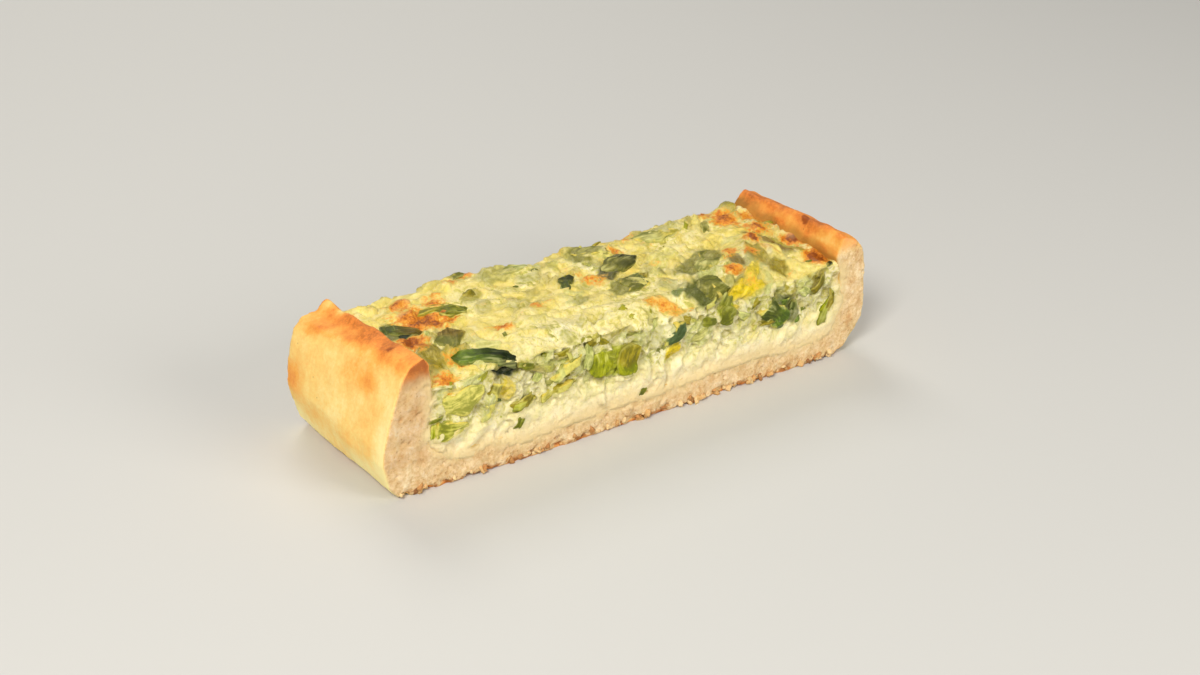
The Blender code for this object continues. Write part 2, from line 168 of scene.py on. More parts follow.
# A strip of leek or a fold of custard that shows through the surface, in millimetres and degrees. On the
# "top" height is y, on the "front" it is z. veil is how much of its tone shows, rise how far it stands out.
Strip = namedtuple("Strip", "face along height length width turn bend tint veil rise")
TOP_STRIPS = (
    (-47.8, 3.0, 8, 3.4, 75, 0.0, "dark", 0.85, 0.2), (-45.2, 0.6, 4.4, 2.4, 15, 0.0, "deep", 0.6, 0.1),
    (-46.2, -8.6, 10, 5.0, 74, 0.02, "moss", 0.95, 0.9),
    (-41.4, -9.6, 7, 4.4, 30, 0.0, "olive", 0.8, 1.0), (-36.4, 7.6, 5, 2.4, 60, 0.0, "straw", 0.6, 0.5),
    (-34.2, -10.4, 5, 3.2, -30, 0.0, "mint", 0.7, 0.4),
    (-26.2, 7.6, 5.4, 3.2, 15, 0.0, "olive", 0.65, 0.5),
    (-26.8, 2.4, 6, 3.8, 60, 0.0, "grey", 0.45, 0.3), (-30.4, 12.4, 6, 3.0, 40, 0.0, "straw", 0.5, 0.4),
    (-15.4, 13.8, 14, 5.0, 18, 0.0, "sage", 0.75, 0.4),
    (-10.6, 9.6, 6, 3.4, -20, 0.0, "sage", 0.6, 0.3),
    (-23.4, 16.6, 4.6, 2.8, 10, 0.0, "grey", 0.65, 0.3),
    (-3.0, 11.8, 6, 3.4, 50, 0.0, "lime", 0.55, 0.5), (-7.0, -4.4, 4.6, 2.4, 8, 0.0, "green", 0.6, 0.2),
    (6.2, 13.0, 10, 5.6, 20, 0.0, "grey", 0.95, 0.3), (5.4, 3.0, 9, 4.2, 42, 0.0, "fold", 0.9, 0.4),
    (4.2, -4.2, 7.6, 5.4, 30, 0.0, "grey", 0.95, 0.2), (14.6, 6.0, 7, 4.0, 30, 0.0, "straw", 0.6, 0.6),
    (20.4, 3.4, 9, 4.6, 20, 0.0, "pale", 0.5, 0.7), (26.0, -2.8, 16, 6.6, 22, 0.0, "grey", 0.9, 0.3),
    (18.6, -13.0, 11, 8.0, 35, 0.0, "slate", 0.98, 0.3),
    (23.6, -7.6, 5.0, 3.0, -15, 0.0, "mint", 0.85, 0.5),
    (13.0, -11.2, 5.0, 2.4, 30, 0.0, "leaf", 0.85, 0.3),
    (13.4, -7.4, 6.0, 4.4, 40, 0.0, "sage", 0.6, 0.4), (28.6, 12.4, 9, 5.0, 10, 0.0, "sage", 0.6, 0.4),
    (38.8, 11.0, 5.4, 1.9, 58, 0.0, "grey", 0.9, 0.3),
    (39.2, -6.0, 9, 5.0, 65, 0.02, "moss", 0.85, 0.9), (40.0, -12.4, 7, 5.0, 50, 0.0, "moss", 0.9, 0.7),
    (34.8, 3.6, 8, 3.8, 35, 0.0, "straw", 0.6, 0.7), (44.6, -6.0, 9, 3.0, 75, 0.0, "straw", 0.5, 0.8),
    (51.4, 5.0, 4.4, 3.0, 80, 0.0, "moss", 0.8, 0.2),
    (32.8, -6.8, 5.4, 3.4, 60, 0.0, "umber", 0.9, 0.4),
    (48.6, -5.6, 11, 2.6, 110, 0.0, "olive", 0.85, 0.6),
    (46.2, -2.6, 14, 2.2, 106, 0.02, "umber", 0.9, 0.7),
    (43.0, -3.4, 10, 1.8, 104, 0.0, "amber", 0.8, 1.0),
    (49.4, 15.2, 6, 3.0, 70, 0.0, "olive", 0.85, 1.1), (47.8, 12.4, 5, 4.0, 60, 0.0, "moss", 0.5, 0.4),
    (27.4, -16.4, 12, 5.6, 14, 0.0, "gold", 1.0, 1.0),
    (32.4, -12.4, 9, 2.8, 38, 0.0, "gold", 0.85, 0.9),
    (21.8, -14.6, 7, 1.6, 70, 0.03, "straw", 0.9, 1.3),
    (8.8, -15.4, 10, 3.2, -48, 0.0, "amber", 0.85, 0.5),
)  # fmt: skip
FRONT_STRIPS = (
    (-50.9, 13.6, 4.2, 2.4, 80, 0.0, "lime_pale", 0.8, 0.3),
    (-47.0, 12.2, 4.0, 1.8, 5, 0.0, "gold", 0.5, 0.2),
    (-46.0, 20.6, 6.0, 1.4, 14, 0.0, "gold", 0.65, 0.5),
    (-41.0, 22.6, 8.0, 3.6, 30, 0.0, "mint", 0.75, 0.8),
    (-34.4, 17.4, 4.4, 4.6, -8, 0.0, "gold", 0.75, 0.4),
    (-29.7, 8.8, 3.6, 2.8, 40, 0.0, "green", 0.7, 0.2),
    # this strip sinks 2.6 mm under the edge leaf in the deep tone: painted shade of the cavity
    (-33.8, 21.6, 6.6, 3.4, -18, 0.0, "deep", 1.0, -2.6),
    (-28.6, 20.6, 7.0, 1.8, -24, 0.03, "olive", 0.85, 0.5),
    (-20.4, 21.0, 5.0, 2.0, 8, 0.0, "olive", 0.8, 0.4),
    # sunk 0.9 mm in the deep tone: painted shade in a pit
    (-21.4, 17.6, 2.2, 1.6, 20, 0.0, "deep", 0.9, -0.9),
    (-15.8, 18.4, 6.0, 3.4, 65, 0.0, "mint", 0.7, 0.5),
    (-8.6, 16.6, 11.6, 7.0, -8, 0.0, "lime", 0.98, 0.8),
    (-7.4, 22.6, 6.4, 1.6, 4, 0.0, "olive", 0.8, 0.2), (0.4, 6.8, 3.2, 2.0, 70, 0.0, "green", 0.7, 0.1),
    (2.2, 19.0, 5.4, 5.0, 60, 0.0, "sage", 0.55, 0.4), (7.8, 14.6, 4.4, 3.0, 8, 0.0, "gold", 1.0, 0.3),
    (14.6, 16.8, 8.0, 5.4, -20, 0.0, "mint", 0.75, 0.4),
    (17.0, 18.8, 3.6, 2.2, -12, 0.0, "green", 0.85, 0.3),
    (21.6, 21.2, 6.0, 4.0, 70, 0.0, "lime", 0.98, 0.4),
    (33.6, 14.8, 4.6, 2.2, 12, 0.0, "moss", 0.9, 0.3),
    (36.6, 16.4, 9.0, 6.0, 20, 0.0, "dark", 0.9, 0.2),
    (41.6, 14.6, 4.6, 3.4, 66, 0.0, "dark", 0.8, 0.3),
    (48.0, 20.4, 7.0, 3.6, 50, 0.0, "moss", 0.9, 0.4),
    (52.2, 14.4, 5.0, 1.8, 80, 0.0, "moss", 0.8, 0.2),
    (44.6, 20.6, 4.6, 3.0, -30, 0.0, "mint", 0.6, 0.5),
)  # fmt: skip
STRIPS = [Strip("top", *row) for row in TOP_STRIPS] + [Strip("front", *row) for row in FRONT_STRIPS]

# Where the top is rich in leek: x, y, reach in millimetres, strength
LEEKY = (
    (-46, -6, 7, 0.9), (-27, 6, 6, 0.6), (-14, 13, 9, 0.9), (7, 6, 9, 1.0), (5, -5, 7, 0.8),
    (22, -8, 12, 1.0), (36, -6, 8, 0.7), (28, 12, 9, 0.6), (46, 8, 8, 0.6), (10, -12, 7, 0.8),
    (50, -8, 6, 0.5), (-38, -12, 6, 0.8), (-20, -14, 6, 0.65), (-22, 0, 5, 0.5), (-7, -5, 4, 0.6),
)  # fmt: skip

# A small loose leaf of leek, in millimetres and degrees: where it shows, its size, how it turns, and its curl
Leaf = namedtuple("Leaf", "face along height length width turn curl tint")
TOP_LEAVES = (
    (-6.0, 3.0, 5.4, 2.2, 62, 8, "dark"), (11.4, -1.6, 6.0, 2.0, 48, 2.8, "moss"),
    (-48.0, 4.4, 5.2, 2.6, 76, 9, "dark"), (-46.2, 0.8, 4.6, 2.2, 24, 9, "deep"),
    (-33.2, 4.4, 6.0, 2.8, -24, 10, "green"), (38.8, 11.0, 5.4, 1.7, 58, 9, "grey"),
    (52.0, -16.2, 2.2, 1.2, 30, 5, "deep"), (10.4, 7.4, 6.2, 2.6, 36, 6, "deep"),
    (-23.8, 16.8, 4.4, 2.2, 12, 9, "grey"), (-26.4, 8.0, 4.6, 2.0, 24, 7, "moss"),
)  # fmt: skip
FRONT_LEAVES = (
    (-50.6, 15.6, 3.0, 0.8, 4, 8, "green"), (-50.8, 13.0, 3.6, 1.8, 82, 6, "lime"),
    (-30.6, 9.4, 3.6, 1.6, 60, 4, "green"), (-28.4, 20.9, 6.4, 1.4, -24, 8, "green"),
    (-20.8, 21.2, 4.8, 1.7, 6, 6, "olive"), (-22.6, 18.6, 4.0, 1.6, -18, 5, "moss"),
    (-18.6, 15.6, 4.6, 1.6, 12, 6, "olive"), (0.4, 6.9, 2.8, 1.7, 66, 4, "green"),
    (17.0, 18.9, 3.4, 1.9, -12, 6, "green"), (21.4, 21.6, 4.2, 2.8, 62, 7, "green"),
    (34.2, 17.6, 5.2, 2.2, 28, 3.5, "dark"), (38.2, 17.8, 4.4, 2.2, -10, 3.5, "leaf"),
    (38.0, 13.0, 4.0, 2.0, 50, 3.0, "navy"), (33.4, 14.8, 4.4, 1.7, 10, 6, "moss"),
    (41.4, 15.4, 4.2, 2.0, 70, 3.5, "dark"), (42.4, 12.6, 3.0, 1.5, 20, 4, "leaf"),
    (48.0, 19.6, 4.6, 2.0, 48, 6, "moss"), (52.2, 14.2, 7.0, 1.9, 74, 6, "moss"),
    (-30.6, 13.5, 6.6, 2.2, 14, 6, "moss"), (-18.2, 19.1, 3.4, 1.5, 20, 5, "green"),
    (-12.7, 22.0, 3.6, 1.8, 30, 5, "moss"), (-14.6, 19.2, 5.2, 1.9, 80, 5, "mint"),
    (-10.6, 21.4, 3.0, 1.3, -30, 5, "olive"), (-3.3, 21.0, 4.2, 1.7, 10, 6, "sage"),
    (2.6, 20.6, 3.6, 2.0, 50, 5, "mint"), (11.6, 20.4, 3.0, 1.6, -20, 5, "moss"),
    (15.0, 16.4, 4.6, 2.4, 20, 6, "sage"), (27.0, 17.6, 3.8, 2.1, -30, 5, "mint"),
    (30.4, 19.6, 3.0, 1.6, 40, 5, "olive"), (-39.6, 21.2, 4.8, 2.0, 36, 6, "lime_pale"),
    (-26.2, 18.2, 3.6, 1.7, 60, 5, "mint"), (-23.4, 15.4, 3.2, 1.5, -20, 5, "sage"),
    (4.4, 15.4, 3.4, 1.7, 30, 5, "sage"), (44.8, 18.6, 3.8, 1.9, -40, 5, "mint"),
)  # fmt: skip
LEAVES = [Leaf("top", *row) for row in TOP_LEAVES] + [Leaf("front", *row) for row in FRONT_LEAVES]

# From outside each face into the custard
INWARD = {"top": (0, 0, -1), "front": (0, 1, 0), "back": (0, -1, 0)}


def distance(name, description, default):
    return FloatProperty(name=name, description=description, default=default, subtype="DISTANCE")


def colour(name, description, *tone):
    return FloatVectorProperty(
        name=name, description=description, default=shade(*tone), subtype="COLOR", min=0, max=1
    )


class QuicheSizes(PropertyGroup):
    """Sizes of the detail."""

    pastry_grain: distance("Pastry grain", "Finest detail of the pastry's shape", 0.00042)
    custard_grain: distance("Custard grain", "Finest detail of the custard's shape", 0.00038)
    leek_grain: distance("Leek grain", "Finest detail of the leek's shape", 0.00024)
    curd: distance("Curd", "Width of the larger curds in the cuts", 0.0026)
    wrinkle: distance("Wrinkle", "Distance between wrinkles of the baked skin", 0.0044)
    crumbs: IntProperty(name="Crumbs", description="Pastry crumbs on the cut pastry", default=170)
    flecks: IntProperty(name="Leek flecks", description="Fine cut leek in the custard", default=56)


class QuicheColours(PropertyGroup):
    """Colours of the finishes."""

    pastry: colour("Pastry", "Golden outside of the pastry", 251, 212, 126)
    pastry_pale: colour("Pale pastry", "Least baked pastry", 255, 238, 168)
    pastry_cut: colour("Cut pastry", "Crumb of the pastry where it is cut", 220, 186, 134)
    pastry_rim: colour("Browned rim", "Browned crest of the pastry", 234, 140, 58)
    custard: colour("Custard", "Set custard where it is cut", 242, 226, 170)
    skin: colour("Baked skin", "Baked top of the custard", 223, 206, 114)
    skin_gold: colour("Golden skin", "Where the top starts to brown", 232, 168, 56)
    skin_brown: colour("Browned skin", "Where the top browned most", 140, 70, 8)
    leek_dark: colour("Dark leek", "Dark green leaf", 78, 90, 22)
    leek_green: colour("Green leek", "Mid green leaf", 122, 124, 30)
    leek_lime: colour("Lime leek", "Yellow-green stem", 160, 156, 30)
    leek_pale: colour("Pale leek", "Pale stem", 206, 200, 110)


def sizes():
    return bpy.context.scene.quiche_sizes


def colours():
    return bpy.context.scene.quiche_colours


# Node trees


def math_method(operation, swapped=False):
    """A method that joins a value and another value or number with a Math node."""

    def method(self, other):
        first, second = (other, self) if swapped else (self, other)
        return self.owner.node("ShaderNodeMath", {"operation": operation}, {0: first, 1: second})

    return method


class Value:
    """A node's output. Sums, differences and products of values add their Math nodes."""

    def __init__(self, owner, socket):
        self.owner = owner
        self.socket = socket

    __add__, __radd__ = math_method("ADD"), math_method("ADD", swapped=True)
    __sub__, __rsub__ = math_method("SUBTRACT"), math_method("SUBTRACT", swapped=True)
    __mul__, __rmul__ = math_method("MULTIPLY"), math_method("MULTIPLY", swapped=True)


class Nodes:
    """Adds nodes to its tree, one with each call."""

    def node(self, kind, settings=None, inputs=None, output=0):
        node = self.tree.nodes.new(kind)
        for setting, value in (settings or {}).items():
            setattr(node, setting, value)
        for socket, value in (inputs or {}).items():
            if isinstance(value, Value):
                self.tree.links.new(value.socket, node.inputs[socket])
            else:
                node.inputs[socket].default_value = value
        return Value(self, node.outputs[output])


class Finish(Nodes):
    """A food's procedural material, built from expressions on values."""

    def __init__(self, name, glow=None, **constants):
        """glow is how much light scatters inside, and how far in red, green and blue."""
        self.material = bpy.data.materials.new(name)
        self.material.use_nodes = True
        self.tree = self.material.node_tree
        self.tree.nodes.clear()
        self.shader = self.tree.nodes.new("ShaderNodeBsdfPrincipled")
        output = self.tree.nodes.new("ShaderNodeOutputMaterial")
        self.tree.links.new(self.shader.outputs[0], output.inputs["Surface"])
        if glow:
            weight, *radius = glow
            constants.update(Subsurface_Weight=weight, Subsurface_Radius=radius, Subsurface_Scale=0.001)
        for socket, value in constants.items():
            self.shader.inputs[socket.replace("_", " ")].default_value = value
        self.place = self.node("ShaderNodeTexCoord", output="Object")

    def attribute(self, name):
        return self.node("ShaderNodeAttribute", {"attribute_name": name}, output="Fac")

    def noise(self, place, size, detail=3.0, roughness=0.5, twist=0.0):
        inputs = {"Vector": place, "Scale": 1 / size, "Detail": detail, "Roughness": roughness}
        return self.node("ShaderNodeTexNoise", {}, {**inputs, "Distortion": twist})

    def clouds(self, size, detail=3.0, roughness=0.5, twist=0.0, stretch=None):
        """Soft noise from 0 to 1 with patches about size across."""
        place = self.place
        if stretch:
            inputs = {"Vector": place, "Scale": stretch}
            place = self.node("ShaderNodeMapping", {"vector_type": "POINT"}, inputs)
        return self.noise(place, size, detail, roughness, twist)

    def fibres(self, width):
        """Noise drawn out along a leaf, whose attributes tell where a point is across and along it."""
        inputs = {0: self.attribute("vein"), 1: self.attribute("run") * FIBRE_SQUEEZE, 2: 0.0}
        return self.noise(self.node("ShaderNodeCombineXYZ", {}, inputs), width, 3.0, 0.6)

    def cells(self, size):
        """Distance to the nearest of many scattered points about size apart."""
        inputs = {"Vector": self.place, "Scale": 1 / size}
        return self.node("ShaderNodeTexVoronoi", {"feature": "F1"}, inputs, output="Distance")

    def tint(self, name="tint"):
        return self.node("ShaderNodeAttribute", {"attribute_name": name}, output="Color")

    def step(self, value, low, high):
        """0 below low, 1 above high, smooth between them."""
        inputs = {"Value": value, "From Min": low, "From Max": high}
        return self.node("ShaderNodeMapRange", {"interpolation_type": "SMOOTHSTEP"}, inputs)

    def mix(self, share, first, second, blend="MIX"):
        first = first if isinstance(first, Value) else (*first, 1)
        second = second if isinstance(second, Value) else (*second, 1)
        inputs = {0: share, 6: first, 7: second}
        return self.node("ShaderNodeMix", {"data_type": "RGBA", "blend_type": blend}, inputs, output=2)

    def tinted(self, colour, tone):
        """The colour multiplied by a tone."""
        return self.mix(1.0, colour, tone, "MULTIPLY")

    def ramp(self, value, *stops):
        """The value as a colour. A stop is a position and its colour."""
        made = self.node("ShaderNodeValToRGB", {}, {"Fac": value})
        elements = made.socket.node.color_ramp.elements
        while len(elements) < len(stops):
            elements.new(0.5)
        for element, (position, tone) in zip(elements, stops):
            element.position = position
            element.color = (*tone, 1)
        return made

    def bump(self, height, distance, normal=None, strength=1.0):
        inputs = {"Height": height, "Distance": distance, "Strength": strength}
        if normal:
            inputs["Normal"] = normal
        return self.node("ShaderNodeBump", {}, inputs)

    def feed(self, **sockets):
        for socket, value in sockets.items():
            self.tree.links.new(value.socket, self.shader.inputs[socket.replace("_", " ")])
        return self.material


def pastry_finish():
    """Shortcrust: golden outside, orange-brown crests, sandy crumb where it is cut, soaked by the custard."""
    tone = colours()
    look = Finish("pastry", glow=(0.1, 1.0, 0.55, 0.25), Specular_IOR_Level=0.25)
    baked, cut, pore, soaked = (look.attribute(name) for name in ("baked", "cut", "pore", "soaked"))
    mottle = look.clouds(6.5 * MM, detail=5, roughness=0.6)
    speckle = look.clouds(0.8 * MM, detail=4, roughness=0.75)
    streak = look.clouds(1.5 * MM, detail=4, roughness=0.6, stretch=(1, 1, 0.22))
    heat = baked + 0.45 * (mottle - 0.5) + (0.25 + 0.5 * baked) * (speckle - 0.5) + 0.2 * (streak - 0.5)
    outside = look.ramp(
        heat,
        (0.0, tone.pastry_pale),
        (0.22, tone.pastry),
        (0.45, shade(248, 178, 84)),
        (0.7, tone.pastry_rim),
        (1.0, shade(158, 78, 20)),
    )
    grain = look.clouds(0.75 * MM, detail=5, roughness=0.75)
    sandy = look.ramp(
        0.75 * grain + 0.25 * streak + 0.5 * (look.clouds(3.4 * MM, detail=3) - 0.5),
        (0.34, shade(202, 156, 104)),
        (0.45, tone.pastry_cut),
        (0.56, shade(236, 206, 160)),
        (0.68, shade(250, 232, 196)),
    )
    # in the cut, baked also carries the painted shade near the left end
    toasted = look.mix(look.step(baked + 0.3 * (grain - 0.5), 0.3, 0.95), sandy, shade(172, 110, 54))
    # painted shade of the crumb's pores: dark spots without hollows, and darker colour in the pushed-in pores
    pore_shade_spots = look.step(look.clouds(0.7 * MM, detail=2, roughness=0.5), 0.66, 0.74)
    flesh = look.mix(0.7 * pore_shade_spots + 0.25 * look.step(pore, 0.3, 1.0), toasted, shade(164, 112, 62))
    flesh = look.mix(0.8 * look.step(soaked + 0.5 * (streak - 0.5), 0.1, 0.9), flesh, shade(230, 206, 152))
    outside = look.mix(0.7 * look.step(soaked + 0.4 * (mottle - 0.5), 0.2, 0.9), outside, shade(176, 132, 58))
    colour = look.mix(cut, outside, flesh)
    specks = look.step(look.cells(2.9 * MM), 0.07, 0.045) * look.step(mottle, 0.5, 0.6) * (1 - cut)
    colour = look.mix(0.55 * specks, colour, shade(160, 86, 30))
    fine = look.clouds(0.35 * MM, detail=3, roughness=0.7)
    relief = look.bump(fine, 0.12 * MM, strength=0.6)
    relief = look.bump(grain * cut, 0.5 * MM, relief, strength=0.7)
    relief = look.bump(speckle * (1 - cut), 0.2 * MM, relief, strength=0.5)
    roughness = 0.62 + 0.2 * cut - 0.1 * look.step(heat, 0.5, 0.9)
    return look.feed(Base_Color=colour, Roughness=roughness, Normal=relief)


def custard_finish():
    """Custard: creamy and moist in the cuts, a yellow baked skin on top, leek showing through both."""
    tone = colours()
    look = Finish("custard", glow=(0.12, 1.0, 0.75, 0.3), Specular_IOR_Level=0.38)
    names = ("skin", "brown", "veil", "crease", "low", "soaked", "crown", "mince")
    skin, brown, veil, crease, low, soaked, crown, mince = (look.attribute(name) for name in names)
    tint = look.tint()
    patch = look.clouds(3.0 * MM, detail=5, roughness=0.62, twist=0.5)
    small = look.clouds(0.95 * MM, detail=5, roughness=0.7)
    wide = look.clouds(8.0 * MM, detail=3, roughness=0.5)
    cream = look.ramp(
        patch + 0.45 * (small - 0.5) + 0.25 * low,
        (0.3, shade(196, 184, 112)),
        (0.45, shade(232, 218, 158)),
        (0.6, tone.custard),
        (0.8, shade(252, 244, 212)),
    )
    baked = look.ramp(
        0.8 * patch + 0.6 * (small - 0.5) + 0.5 * (wide - 0.5) + 0.1,
        (0.22, shade(180, 158, 64)),
        (0.38, tone.skin),
        (0.54, shade(237, 217, 123)),
        (0.72, shade(252, 239, 170)),
    )
    blister = look.clouds(0.6 * MM, detail=2, roughness=0.6)
    speckled = (1.7 * (small - 0.5) + 0.8 * (blister - 0.5)) * look.step(brown, 0.05, 0.45)
    heat = brown + speckled + 0.2 * (patch - 0.5)
    toast = look.ramp(
        heat,
        (0.1, shade(240, 206, 88)),
        (0.36, tone.skin_gold),
        (0.66, shade(214, 128, 32)),
        (1.0, tone.skin_brown),
    )
    colour = look.mix(skin, cream, baked)
    minced = look.clouds(1.9 * MM, detail=4, roughness=0.62, twist=1.2)
    mosaic = look.ramp(
        minced,
        (0.33, shade(118, 124, 22)),
        (0.39, shade(170, 172, 64)),
        (0.435, shade(210, 212, 124)),
        (0.47, shade(242, 234, 172)),
        (0.56, shade(255, 252, 226)),
        (0.63, shade(238, 228, 146)),
        (0.73, shade(190, 196, 90)),
    )
    colour = look.mix(mince, colour, mosaic)
    colour = look.mix(0.6 * skin, colour, look.tinted(colour, (1.0, 0.96, 0.76)))
    # leek and folds that show through
    fibre = look.fibres(0.75)
    # darker and lighter copies of the leek's tone along its fibres: partly its own streaks, partly painted
    # shade and painted highlight
    shaded = look.tinted(tint, (0.64, 0.66, 0.42))
    lit = look.mix(0.25, look.tinted(tint, (1.5, 1.45, 1.3)), shade(244, 238, 184))
    body = look.mix(look.step(0.5 * small + 0.6 * fibre, 0.44, 0.6), shaded, tint)
    body = look.mix(0.5 * look.step(fibre + 0.8 * (patch - 0.5), 0.54, 0.7), body, lit)
    colour = look.mix(veil * look.step(0.6 * patch + 0.4 * small + 0.5 * veil, 0.3, 0.66), colour, body)
    # browned places, painted highlights on crowns, painted shade in creases, and the low part that took up
    # the pastry's colour
    colour = look.mix(look.step(heat, 0.14, 0.46), colour, toast)
    # painted highlight: pale cream on the crowns of the curds and of the skin's folds
    painted_highlight = 0.6 * look.step(crown + 0.6 * (small - 0.5), 0.35, 1.0)
    painted_highlight = painted_highlight * (1 - 0.8 * look.step(heat, 0.12, 0.4))
    colour = look.mix(painted_highlight, colour, shade(250, 240, 190))
    # painted shade: darker olive in the creases between curds, in the pits and in the skin's hollows
    colour = look.mix(0.45 * look.step(crease, 0.3, 1.0) * (1 - veil), colour, shade(160, 150, 66))
    colour = look.mix(0.5 * look.step(low + 0.4 * (patch - 0.5), 0.5, 1.0), colour, shade(240, 220, 168))
    dots = 0.5 * low * look.step(small + 0.3 * (patch - 0.5), 0.5, 0.64)
    colour = look.mix(dots, colour, shade(210, 186, 126))
    colour = look.mix(0.9 * look.step(soaked + 0.5 * (small - 0.5), 0.1, 0.95), colour, shade(229, 204, 150))
    fine = look.clouds(0.4 * MM, detail=3, roughness=0.65)
    relief = look.bump(fine, 0.12 * MM, strength=0.6)
    relief = look.bump(small, 0.45 * MM, relief, strength=0.6)
    relief = look.bump(fibre * veil, 0.25 * MM, relief, strength=0.5)
    relief = look.bump(minced * mince, 1.1 * MM, relief, strength=0.8)
    roughness = 0.36 + 0.3 * (patch - 0.5) - 0.06 * skin + 0.2 * look.step(heat, 0.4, 0.9)
    return look.feed(Base_Color=colour, Roughness=roughness, Normal=relief)


def leek_finish():
    """Cooked leek: fine veins along the leaf, layers at its cut ends, a film of custard here and there."""
    look = Finish("cooked_leek", glow=(0.12, 0.8, 1.0, 0.3), Specular_IOR_Level=0.2)
    rim, film, layer = look.attribute("rim"), look.attribute("film"), look.attribute("layer")
    tint, cover = look.tint(), look.tint("cover")
    waver = look.clouds(3.4 * MM, detail=3)
    small = look.clouds(0.85 * MM, detail=5, roughness=0.7)
    fibre = look.fibres(0.7)
    wave = look.node("ShaderNodeMath", {"operation": "SINE"}, {0: layer * 9.0 + 3.0 * waver})
    layers = wave * 0.5 + 0.5
    # darker and lighter copies of the leaf's tone along its fibres: partly its own streaks, partly painted
    # shade and painted highlight
    shadow = look.tinted(tint, (0.46, 0.5, 0.3))
    light = look.mix(0.4, look.tinted(tint, (1.5, 1.5, 1.3)), shade(236, 232, 170))
    body = look.mix(look.step(0.7 * fibre + 0.3 * small + 0.7 * (waver - 0.5), 0.38, 0.58), shadow, tint)
    body = look.mix(0.7 * look.step(fibre + 0.9 * (waver - 0.5), 0.55, 0.75), body, light)
    body = look.mix(rim * (0.2 + 0.4 * layers), body, look.mix(0.5, tint, shade(214, 214, 130)))
    smear = look.step(film + 0.7 * (small - 0.5), 0.3, 0.75)
    covered = look.mix(look.step(small, 0.36, 0.6), look.tinted(cover, (0.8, 0.76, 0.6)), cover)
    body = look.mix(0.9 * smear, body, covered)
    relief = look.bump(fibre, 0.3 * MM, strength=0.5)
    relief = look.bump(small, 0.3 * MM, relief, strength=0.5)
    roughness = 0.36 + 0.3 * (small - 0.3) + 0.1 * smear
    return look.feed(Base_Color=body, Roughness=roughness, Normal=relief)


def fleck_finish():
    """Fine cut leek, each bit with its own green."""
    tone = colours()
    look = Finish("leek_fleck", glow=(0.15, 0.5, 1.0, 0.25), Specular_IOR_Level=0.35)
    own = look.attribute("own_green")
    small = look.clouds(0.7 * MM, detail=3)
    body = look.ramp(
        own + 0.25 * (small - 0.5),
        (0.02, tone.leek_dark),
        (0.25, tone.leek_green),
        (0.6, tone.leek_lime),
        (0.95, tone.leek_pale),
    )
    relief = look.bump(small, 0.15 * MM, strength=0.5)
    return look.feed(Base_Color=body, Roughness=0.36 + 0.12 * small, Normal=relief)


def crumb_finish():
    """Loose pastry crumbs, some of them toasted."""
    look = Finish("pastry_crumb", Subsurface_Weight=0.1, Subsurface_Scale=0.0008)
    own = look.attribute("own_heat")
    small = look.clouds(0.4 * MM, detail=3, roughness=0.7)
    body = look.ramp(
        own + 0.3 * (small - 0.5),
        (0.1, shade(232, 202, 150)),
        (0.45, shade(214, 172, 112)),
        (0.7, shade(192, 138, 80)),
        (1.0, shade(138, 90, 46)),
    )
    relief = look.bump(small, 0.15 * MM, strength=0.6)
    return look.feed(Base_Color=body, Roughness=0.75 + 0.1 * small, Normal=relief)


# Mesh helpers. Points are rows of millimetres in numpy arrays.


def merged_copy(names):
    """One bmesh with copies of CAD nodes, their doubles merged."""
    mesh = bmesh.new()
    for name in names:
        mesh.from_mesh(frame["nodes"][name].data)
    bmesh.ops.remove_doubles(mesh, verts=mesh.verts, dist=1e-6)
    return mesh


def applied(obj):
    """The object with its modifiers turned into plain mesh."""
    bpy.context.view_layer.update()
    evaluated = obj.evaluated_get(bpy.context.evaluated_depsgraph_get())
    data = bpy.data.meshes.new_from_object(evaluated)
    obj.modifiers.clear()
    spare, obj.data = obj.data, data
    bpy.data.meshes.remove(spare)
    data.name = obj.name
    return obj


def new_object(name, mesh):
    data = bpy.data.meshes.new(name)
    if mesh:
        mesh.to_mesh(data)
        mesh.free()
    obj = bpy.data.objects.new(name, data)
    bpy.context.scene.collection.objects.link(obj)
    return obj


def fine_grained(name, nodes, grain, smoothing=3):
    """A new piece: copies of CAD nodes made one even surface of small faces."""
    obj = new_object(name, merged_copy(nodes))
    remesh = obj.modifiers.new("even", "REMESH")
    remesh.mode = "VOXEL"
    remesh.voxel_size = grain
    smooth = obj.modifiers.new("smooth", "SMOOTH")
    smooth.factor = 0.5
    smooth.iterations = smoothing
    return applied(obj)


def points_of(obj):
    """Vertices in millimetres, and their normals."""
    count = len(obj.data.vertices)
    co, normal = np.zeros(count * 3), np.zeros(count * 3)
    obj.data.vertices.foreach_get("co", co)
    obj.data.vertices.foreach_get("normal", normal)
    return co.reshape(-1, 3) * 1000, normal.reshape(-1, 3)


def set_points(obj, points):
    """Moves the vertices, held inside the CAD's box."""
    low, high = np.array(cad_low) * 1000, np.array(cad_high) * 1000
    obj.data.vertices.foreach_set("co", (np.clip(points, low, high) * MM).ravel())
    obj.data.update()


def set_attributes(obj, **rows):
    """Stores a number or a colour for each vertex."""
    for name, values in rows.items():
        values = np.asarray(values, dtype=np.float32)
        if values.ndim == 1:
            obj.data.attributes.new(name, "FLOAT", "POINT").data.foreach_set("value", values)
        else:
            full = np.ones((len(values), 4), dtype=np.float32)
            full[:, :3] = values
            obj.data.attributes.new(name, "FLOAT_COLOR", "POINT").data.foreach_set("color", full.ravel())


def finished(obj, material, slot, *nodes):
    """Gives a piece its finish and hands it to the frame."""
    obj.data.materials.clear()
    obj.data.materials.append(material)
    obj.data.shade_smooth()
    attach(obj, "root")
    if nodes:
        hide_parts(*nodes)
    return obj


